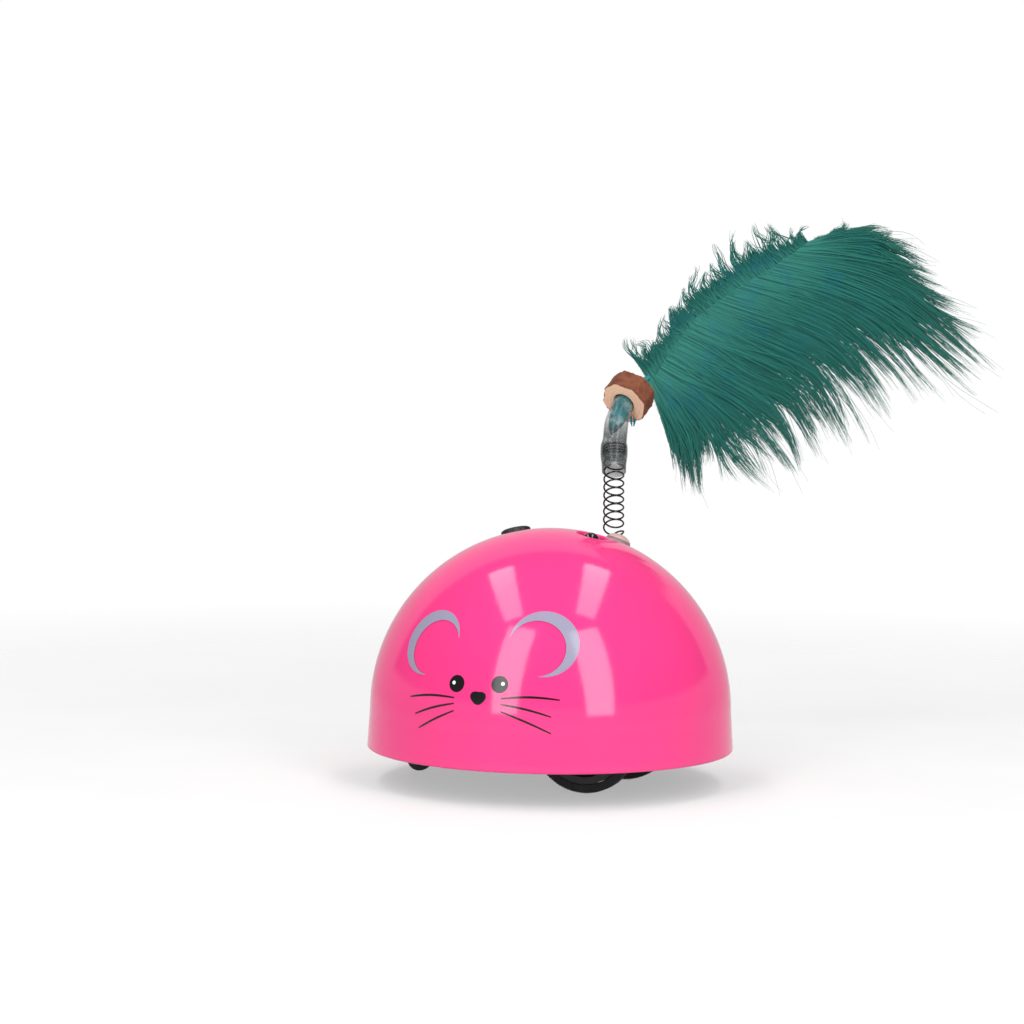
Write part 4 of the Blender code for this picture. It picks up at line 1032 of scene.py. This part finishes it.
# Guides: where barbs run on the tail's plane, from the shaft to their tips, as (along, height)
LOWER_GUIDES = (
    ((12, 117), (15.5, 107.5), (19, 96), (20.5, 85)),
    ((13, 117.5), (19.5, 105.5), (25, 95), (28.5, 80.5)),
    ((14, 118.5), (26.5, 105.5), (32.5, 94), (32.5, 79.5)),
    ((15, 119.5), (31, 108), (40.5, 93.5), (50, 80)),
    ((17, 123), (34.5, 113), (47.5, 104), (55, 95.5), (61, 88)),
    ((20.5, 128.5), (39, 118.5), (54.5, 109.5), (61.5, 100.5), (66, 89)),
    ((24, 133.5), (47.5, 122.5), (61.5, 116.5), (69, 108.5), (76.5, 99.5)),
    ((29, 140), (51, 130.5), (66.5, 123.5), (76, 113), (83, 96.5)),
    ((35, 144.5), (58, 136), (73.5, 128.5), (85, 116.5), (94.5, 102.5)),
    ((41, 149), (65, 141), (80.5, 133), (93.5, 120.5), (102, 106)),
    ((46.5, 152.5), (69.5, 146), (86, 137.5), (99.5, 124), (109, 114.5)),
    ((51.5, 155.5), (73.5, 150), (91, 142), (106.5, 130.5), (123.5, 115.5)),
    ((55.5, 158), (78, 152.5), (95.5, 145), (113, 132.5), (127.5, 121.5)),
    ((58.5, 160.5), (81, 156.5), (98, 149.5), (111, 140.5), (126.5, 127.5)),
    ((61.5, 162), (82.5, 159), (97, 154.5), (108.5, 148), (122.5, 142.5)),
    ((63.5, 164), (81, 163.5), (93, 160.5), (102.5, 156.5), (112, 153)),
    ((65.5, 165.5), (79, 167), (89.5, 167), (97.5, 164.5), (106.5, 160)),
    ((66.5, 166.5), (76.5, 169), (83.5, 170.5), (89.5, 171), (95.5, 170.5)),
    ((67, 167), (72, 169), (74.5, 171), (76, 173), (76, 176)),
)
UPPER_GUIDES = (
    ((12, 118), (8, 124), (5.5, 128.5), (2, 134.5)),
    ((13.5, 120.5), (9.5, 126), (8, 129.5), (5.5, 131)),
    ((16.5, 125.5), (13, 130.5), (13.5, 134), (16.5, 136)),
    ((21, 131), (17, 137.5), (17, 141.5), (18, 145)),
    ((26.5, 137), (20.5, 143), (19.5, 147.5), (19.5, 151.5)),
    ((31.5, 142.5), (26, 148.5), (26, 153), (29, 159.5)),
    ((36.5, 147), (30.5, 152.5), (30.5, 156.5), (34, 159)),
    ((42, 151.5), (36.5, 157), (34.5, 161.5), (33.5, 166.5)),
    ((48, 154.5), (42.5, 161), (41, 165.5), (40, 171)),
    ((53.5, 157.5), (48.5, 163.5), (47, 167), (46.5, 171)),
    ((58, 160.5), (53.5, 165), (53.5, 169), (51, 173)),
    ((63, 163), (59.5, 168), (60, 170.5), (61.5, 172.5)),
    ((67, 165), (63.5, 169.5), (65, 173), (66.5, 174.5)),
)
FEATHER_DEPTH = 37.5
ROOT_OVERLAP = 1.3
GUIDE_POINTS = 25
# Layers of barbs: count, grip of the lock, share of its length, spread, wave and width
LOWER_LAYERS = ((1150, 0.985, (0.85, 1.0), 1.2, 0.8, 0.40),
                (1300, 0.9, (0.35, 0.78), 1.4, 1.0, 0.46),
                (70, 0.25, (0.95, 1.12), 2.6, 2.0, 0.2))
FUR_LAYER = (1700, 0.7, (0.6, 1.0), 1.2, 0.6, 0.42)
CURL_LAYER = (300, 0.98, (0.9, 1.0), 0.8, 1.3, 0.42)
LOWER_POINTS, UPPER_POINTS = 18, 14
LOWER_HAIRS, UPPER_HAIRS = 12, 8    # to a barb
random = np.random.default_rng(7)


def resampled(points, count):
    """Evenly spaced points along a smooth curve through a guide's points."""
    fine = np.array(smooth_route(points, 12))
    steps = np.linalg.norm(np.diff(fine, axis=0), axis=1)
    along = np.concatenate(([0], np.cumsum(steps)))
    even = np.linspace(0, along[-1], count)
    return np.stack([np.interp(even, along, fine[:, k]) for k in range(fine.shape[1])], axis=1)


def field(guides):
    """Places along the guides, that start a little beyond the shaft so that both sides meet."""
    flow = np.stack([resampled(guide, GUIDE_POINTS) for guide in guides])
    first = flow[:, 0] - flow[:, 1]
    flow[:, 0] += first / np.linalg.norm(first, axis=1, keepdims=True) * ROOT_OVERLAP
    return flow


def sample(flow, u, v):
    """The plane's places for barbs at u along the shaft and v along each barb. v may pass 1."""
    last = flow.shape[0] - 1
    u = np.clip(last - np.abs(last - np.abs(u)), 0, last - 1e-6)
    i = u.astype(int)
    f = (u - i)[..., None]
    steps = flow.shape[1] - 1
    w = np.clip(v * steps, 0, None)
    j = np.minimum(w.astype(int), steps - 1)
    g = (w - j)[..., None]
    near = flow[i, j] * (1 - g) + flow[i, j + 1] * g
    far = flow[i + 1, j] * (1 - g) + flow[i + 1, j + 1] * g
    return near * (1 - f) + far * f


def smoothstep(low, high, x):
    t = np.clip((x - low) / (high - low), 0, 1)
    return t * t * (3 - 2 * t)


class Locks:
    """The locks that one side's barbs gather into: place, reach, layer in depth and tone."""

    def __init__(self, flow, count, lengths):
        self.flow = flow
        last = flow.shape[0] - 1
        self.centre = (np.arange(count) + random.uniform(0.1, 0.9, count)) / count * last
        self.reach = random.uniform(*lengths, count)
        self.layer = random.normal(0, 1, count)
        self.tone = random.normal(0, 1, count)
        self.drift = random.normal(0, 0.26, count)
        self.phase = random.uniform(0, 6.3, count)
        self.bend = random.uniform(0.2, 1.0, count)


def barb_paths(locks, barbs, points, grip, lengths, spread, wave):
    """Paths of many barbs as (along, behind, height), how far out their points lie and tones.

    Barbs gather into their lock as far as grip says, reach a share of its length, and spread
    in depth as they go out.
    """
    flow, last = locks.flow, locks.flow.shape[0] - 1
    u = np.sort(random.random(barbs)) * last
    lock = np.abs(u[:, None] - locks.centre[None, :]).argmin(axis=1)
    reach = locks.reach[lock] * random.uniform(*lengths, barbs)
    share = np.linspace(0, 1, points)[None, :]
    v = share * reach[:, None]
    pull = (grip * random.uniform(0.8, 1.0, barbs))[:, None]
    pull = pull * smoothstep(0.35, 0.88, v / locks.reach[lock][:, None])
    jitter = random.normal(0, 0.30, barbs)[:, None] * smoothstep(0, 0.5, v) * (1 - pull)
    drift = locks.drift[lock][:, None] * v ** 2
    place = sample(flow, u[:, None] + (locks.centre[lock] - u)[:, None] * pull + jitter + drift, v)
    slope = np.gradient(place, axis=1)
    slope /= np.linalg.norm(slope, axis=2, keepdims=True) + 1e-9
    across = np.stack((-slope[..., 1], slope[..., 0]), axis=2)
    phase, rate = random.uniform(0, 6.3, (2, barbs))[..., None]
    size = (wave * random.uniform(0.2, 1.0, barbs))[:, None] * smoothstep(0.15, 1.0, v)
    swing = np.sin(v * 5 + locks.phase[lock][:, None]) * locks.bend[lock][:, None]
    swing = swing * smoothstep(0.3, 1.0, v) * wave * 1.5
    place = place + across * (np.sin(v * (3 + rate) + phase) * size + swing)[..., None]
    layer = locks.layer[lock] * 0.3 + random.normal(0, 0.7, barbs)
    fan = smoothstep(0.0, 0.9, v) * spread + 0.5
    depth = FEATHER_DEPTH + layer[:, None] * fan + 0.5 * size * np.cos(v * 7 + phase)
    path = np.stack((place[..., 0], depth, place[..., 1]), axis=2)
    tone = 0.5 + 0.05 * locks.tone[lock] + 0.10 * random.normal(0, 1, barbs)
    return path, v, tone, u / last


def ribbons(path, v, tone, painted_highlight, wide, fuzz):
    """Tapered ribbons along paths, each with single-triangle hairs. Arrays for one mesh."""
    barbs, points, _ = path.shape
    ahead = np.gradient(path, axis=1)
    ahead /= np.linalg.norm(ahead, axis=2, keepdims=True) + 1e-9
    face = np.array((0.0, 1.0, 0.0)) + random.normal(0, 0.2, (barbs, 1, 3))
    side = np.cross(ahead, face)
    side /= np.linalg.norm(side, axis=2, keepdims=True) + 1e-9
    share = np.linspace(0, 1, points)[None, :]
    width = (wide * random.uniform(0.7, 1.3, (barbs, 1)) * (1 - share ** 1.6) + 0.045) / 2
    rails = np.stack((path - side * width[..., None], path + side * width[..., None]), axis=2)
    verts = rails.reshape(-1, 3)
    base = (np.arange(barbs)[:, None] * points + np.arange(points - 1)[None, :]).reshape(-1) * 2
    quads = np.stack((base, base + 1, base + 3, base + 2), axis=1)
    facts = np.stack(np.broadcast_arrays(tone[:, None], v, painted_highlight), axis=2)
    colours = np.repeat(facts.reshape(-1, 3), 2, axis=0)
    # hairs: a short base on the ribbon and one tip, slanted forwards
    which = random.integers(0, barbs, fuzz)
    at = random.uniform(0.12, 0.97, fuzz) * (points - 1)
    step = at.astype(int)
    part = (at - step)[:, None]
    root = path[which, step] * (1 - part) + path[which, step + 1] * part
    forward = ahead[which, step]
    hand = np.where(random.random(fuzz) < 0.5, -1.0, 1.0)[:, None]
    lean = random.uniform(0.5, 1.1, fuzz)[:, None]
    out = forward * np.cos(lean) + side[which, step] * hand * np.sin(lean)
    out += random.normal(0, 0.25, (fuzz, 3))
    length = random.uniform(0.5, 1.4, fuzz)[:, None] * (1.2 - at / points)[:, None]
    hairs = np.stack((root - forward * 0.055, root + forward * 0.055, root + out * length), axis=1)
    start = len(verts)
    triangles = start + np.arange(fuzz * 3).reshape(-1, 3)
    hair_facts = np.repeat(facts[which, step], 3, axis=0)
    return (np.concatenate((verts, hairs.reshape(-1, 3))), quads, triangles,
            np.concatenate((colours, hair_facts)))


def add_plume(name, parts, stands_for=()):
    """One mesh of ribbons and hairs on the wand, with each vertex's tone, reach and painted
    highlight.
    """
    offset, verts, loops, sizes, colours = 0, [], [], [], []
    for points, quads, triangles, facts in parts:
        verts.append(points)
        loops += [(quads + offset).reshape(-1), (triangles + offset).reshape(-1)]
        sizes += [np.full(len(quads), 4), np.full(len(triangles), 3)]
        colours.append(facts)
        offset += len(points)
    verts = np.concatenate(verts)
    turn = np.array((ALONG, BEHIND, UP))
    verts = (verts @ turn + np.array(TAIL_XY)) * MM
    loops, sizes, colours = (np.concatenate(rows) for rows in (loops, sizes, colours))
    mesh = bpy.data.meshes.new(name)
    mesh.vertices.add(len(verts))
    mesh.vertices.foreach_set("co", verts.astype(np.float32).reshape(-1))
    mesh.loops.add(len(loops))
    mesh.loops.foreach_set("vertex_index", loops.astype(np.int32))
    mesh.polygons.add(len(sizes))
    starts = np.concatenate(([0], np.cumsum(sizes)[:-1]))
    mesh.polygons.foreach_set("loop_start", starts.astype(np.int32))
    mesh.update(calc_edges=True)
    mesh.shade_smooth()
    layer = mesh.attributes.new("barb", "FLOAT_COLOR", "POINT")
    rows = np.concatenate((np.clip(colours, 0, 1), np.ones((len(colours), 1))), axis=1)
    layer.data.foreach_set("color", rows.astype(np.float32).reshape(-1))
    mesh.materials.append(LOOKS["feather"])
    place_piece(name, mesh, "wand", stands_for)


def make_feather():
    """The plume: a shaft, long barbs to one side, short curly ones to the other, and base down."""
    lower, upper = field(LOWER_GUIDES), field(UPPER_GUIDES)
    shares = np.linspace(0, 1, 30)
    shaft = sample(lower, shares * (len(LOWER_GUIDES) - 1), np.full(30, 0.04))
    points = [tail_point(s, FEATHER_DEPTH + 1.1, z) for s, z in shaft[2:]]
    radii = [0.75 * (1 - t) + 0.15 for t in np.linspace(0, 1, len(points))]
    add_piece("feather_shaft", loft("shaft", sweep(points, radii, 12), capped=True), "wand",
              "quill", ("quill",))

    def painted_highlight(v, along, strength):
        """Painted highlight: brighter close to the shaft, most of all at its foot."""
        near = (1 - smoothstep(0.0, 0.32, v)) * strength
        foot = (1 - smoothstep(0.0, 0.12, along))[:, None] * (1 - smoothstep(0.02, 0.3, v))
        return np.clip(near + 0.45 * foot, 0, 1)

    def barbs(locks, layer, points, hairs, painted_highlight_strength, darken):
        """One layer's ribbons and hairs."""
        count, grip, lengths, spread, wave, wide = layer
        path, v, tone, along = barb_paths(locks, count, points, grip, lengths, spread, wave)
        return ribbons(path, v, tone - darken, painted_highlight(v, along, painted_highlight_strength), wide, count * hairs)

    locks = Locks(lower, 170, (0.70, 1.06))
    for index in range(3):
        parts = [barbs(locks, layer, LOWER_POINTS, LOWER_HAIRS, 0.42, 0.0)
                 for layer in LOWER_LAYERS]
        add_plume(f"feather_lower_{index + 1}", parts, ("feather",) if index == 0 else ())
    fur, curls = Locks(upper, 110, (0.35, 0.62)), Locks(upper, 30, (0.5, 1.12))
    parts = [barbs(locks, layer, UPPER_POINTS, UPPER_HAIRS, 0.25, 0.1)
             for locks, layer in ((fur, FUR_LAYER), (curls, CURL_LAYER))]
    add_plume("feather_upper", parts)


# ---------------------------------------------------------------- the other solids' finish

def finish_solids():
    """Each CAD part that still shows takes its slot's material."""
    for row in frame["record"]["subparts"]:
        node = frame["nodes"][row["node"]]
        if node.hide_render:
            continue
        look = LOOKS[row["material_slot"]]
        for slot in node.material_slots:
            slot.material = look


# ---------------------------------------------------------------- studio and camera

CAMERA_TURN, CAMERA_TILT = math.radians(24), math.radians(7.6)
CAMERA_ROLL = math.radians(0.64)
CAMERA_DISTANCE = 1000.0
FILL = 0.33                          # of the room, for what is not glossy
ROOM = 0.10                          # of the dark room, mirrored in gloss
BACKDROP = 0.62                      # of the white backdrop, mirrored in gloss
CAMERA_LENS = 106.3
AIM_RIGHT, AIM_UP = -13.5, 64.7      # where the view's middle lies, from the ball's centre
RIGHT = Vector((math.cos(CAMERA_TURN), math.sin(CAMERA_TURN), 0))
AWAY = Vector((-math.sin(CAMERA_TURN), math.cos(CAMERA_TURN), 0))
# Softboxes: centre as (right, away, up) in metres, width, height, long side and radiance
SOFTBOXES = {
    "overhead_left": ((-0.39, 0.0, 1.0), 0.20, 0.85, AWAY, 4.4),
    "overhead_right": ((0.34, 0.03, 1.0), 0.20, 0.85, AWAY, 4.4),
    "front_left": ((-0.54, -1.0, 0.64), 0.40, 1.3, UP, 5.2),
    "front_right": ((0.60, -1.0, 0.64), 0.44, 1.3, UP, 5.4),
}


def make_camera():
    """A long lens a metre away, slightly above the toy and to the right of its face."""
    toward = -AWAY * math.cos(CAMERA_TILT) + UP * math.sin(CAMERA_TILT)
    place = SPHERE + toward * CAMERA_DISTANCE
    lens_up = toward.cross(RIGHT)
    aim = SPHERE + RIGHT * AIM_RIGHT + lens_up * AIM_UP
    back = (place - aim).normalized()
    side = UP.cross(back).normalized()
    turn = Matrix((side, back.cross(side), back)).transposed()
    turn = turn @ Matrix.Rotation(CAMERA_ROLL, 3, "Z")
    data = bpy.data.cameras.new("camera")
    data.lens = CAMERA_LENS
    data.clip_end = 20
    camera = new_object("camera", data)
    camera.matrix_world = Matrix.Translation(place * MM) @ turn.to_4x4()
    bpy.context.scene.camera = camera


def softbox(name, centre, width, height, along, radiance):
    """A rectangular light that faces the toy."""
    place = RIGHT * centre[0] + AWAY * centre[1] + UP * (centre[2] + SPHERE_Z * MM)
    data = bpy.data.lights.new(name, "AREA")
    data.shape = "RECTANGLE"
    data.size, data.size_y = width, height
    data.energy = radiance * width * height * math.pi
    light = new_object(name, data)
    back = (place - SPHERE * MM).normalized()
    long_side = (along - back * along.dot(back)).normalized()
    short_side = long_side.cross(back)
    light.matrix_world = (Matrix.Translation(place)
                          @ Matrix((short_side, long_side, back)).transposed().to_4x4())
    light.visible_camera = False


def make_world():
    """White all round for the camera, a soft fill, and what the gloss mirrors: a dark room in
    front and above, with a white backdrop behind the toy and a white table round its foot."""
    world = bpy.data.worlds.new("studio")
    bpy.context.scene.world = world
    world.use_nodes = True
    tree = world.node_tree
    background = tree.nodes["Background"]
    place = add_node(tree, "TexCoord").outputs["Generated"]
    levels = []
    for axis, low, high in ((AWAY, 0.54, 0.62), (-UP, -0.16, -0.09)):
        dot = add_node(tree, "VectorMath", operation="DOT_PRODUCT")
        tree.links.new(place, dot.inputs[0])
        dot.inputs[1].default_value = axis
        step = add_node(tree, "MapRange", interpolation_type="SMOOTHSTEP")
        tree.links.new(dot.outputs["Value"], step.inputs["Value"])
        step.inputs["From Min"].default_value, step.inputs["From Max"].default_value = low, high
        levels.append(step.outputs["Result"])
    white = add_node(tree, "Math", operation="MAXIMUM")
    for socket, level in zip(white.inputs, levels):
        tree.links.new(level, socket)
    mirrored = add_node(tree, "MapRange")
    tree.links.new(white.outputs[0], mirrored.inputs["Value"])
    mirrored.inputs["To Min"].default_value = ROOM
    mirrored.inputs["To Max"].default_value = BACKDROP
    path = add_node(tree, "LightPath")
    value = FILL
    for ray, level in (("Is Glossy Ray", mirrored.outputs["Result"]), ("Is Camera Ray", 1.0)):
        mix = add_node(tree, "Mix", data_type="FLOAT")
        tree.links.new(path.outputs[ray], mix.inputs["Factor"])
        for socket, source in zip(mix.inputs[2:4], (value, level)):
            if isinstance(source, float):
                socket.default_value = source
            else:
                tree.links.new(source, socket)
        value = mix.outputs[0]
    tree.links.new(value, background.inputs["Strength"])
    background.inputs["Color"].default_value = (1, 1, 1, 1)


def make_floor():
    """A white table that fades into the white round it."""
    mesh = bpy.data.meshes.new("floor")
    bm = bmesh.new()
    bmesh.ops.create_circle(bm, cap_ends=True, segments=96, radius=0.9)
    bmesh.ops.translate(bm, vec=(0, 0, GROUND_Z * MM), verts=bm.verts)
    bm.to_mesh(mesh)
    bm.free()
    look = Material("table_white", roughness=0.7, Specular_IOR_Level=0.2)
    look.colour(look.ramp(look.noise(60.0), (0.3, (0.9, 0.9, 0.9)), (0.7, (0.93, 0.93, 0.93))))
    flat = look.vector("MULTIPLY", look.place, (1, 1, 0))
    far = look.vector("LENGTH", flat, output="Value")
    look.feed(look.shader.inputs["Alpha"], look.between(far, 0.6, 0.0, 0.2, 0.6))
    mesh.materials.append(look.material)
    new_object("floor", mesh)


make_camera()
make_dome()
make_print()
make_top_parts()
for wheel, wheel_side in (("left", -1), ("right", 1)):
    make_tyre(wheel, wheel_side)
make_spring()
make_tube()
make_bead()
make_thread()
make_feather()
finish_solids()
make_world()
make_floor()
for box, settings in SOFTBOXES.items():
    softbox(box, *settings)
bpy.context.scene.view_settings.view_transform = "Standard"
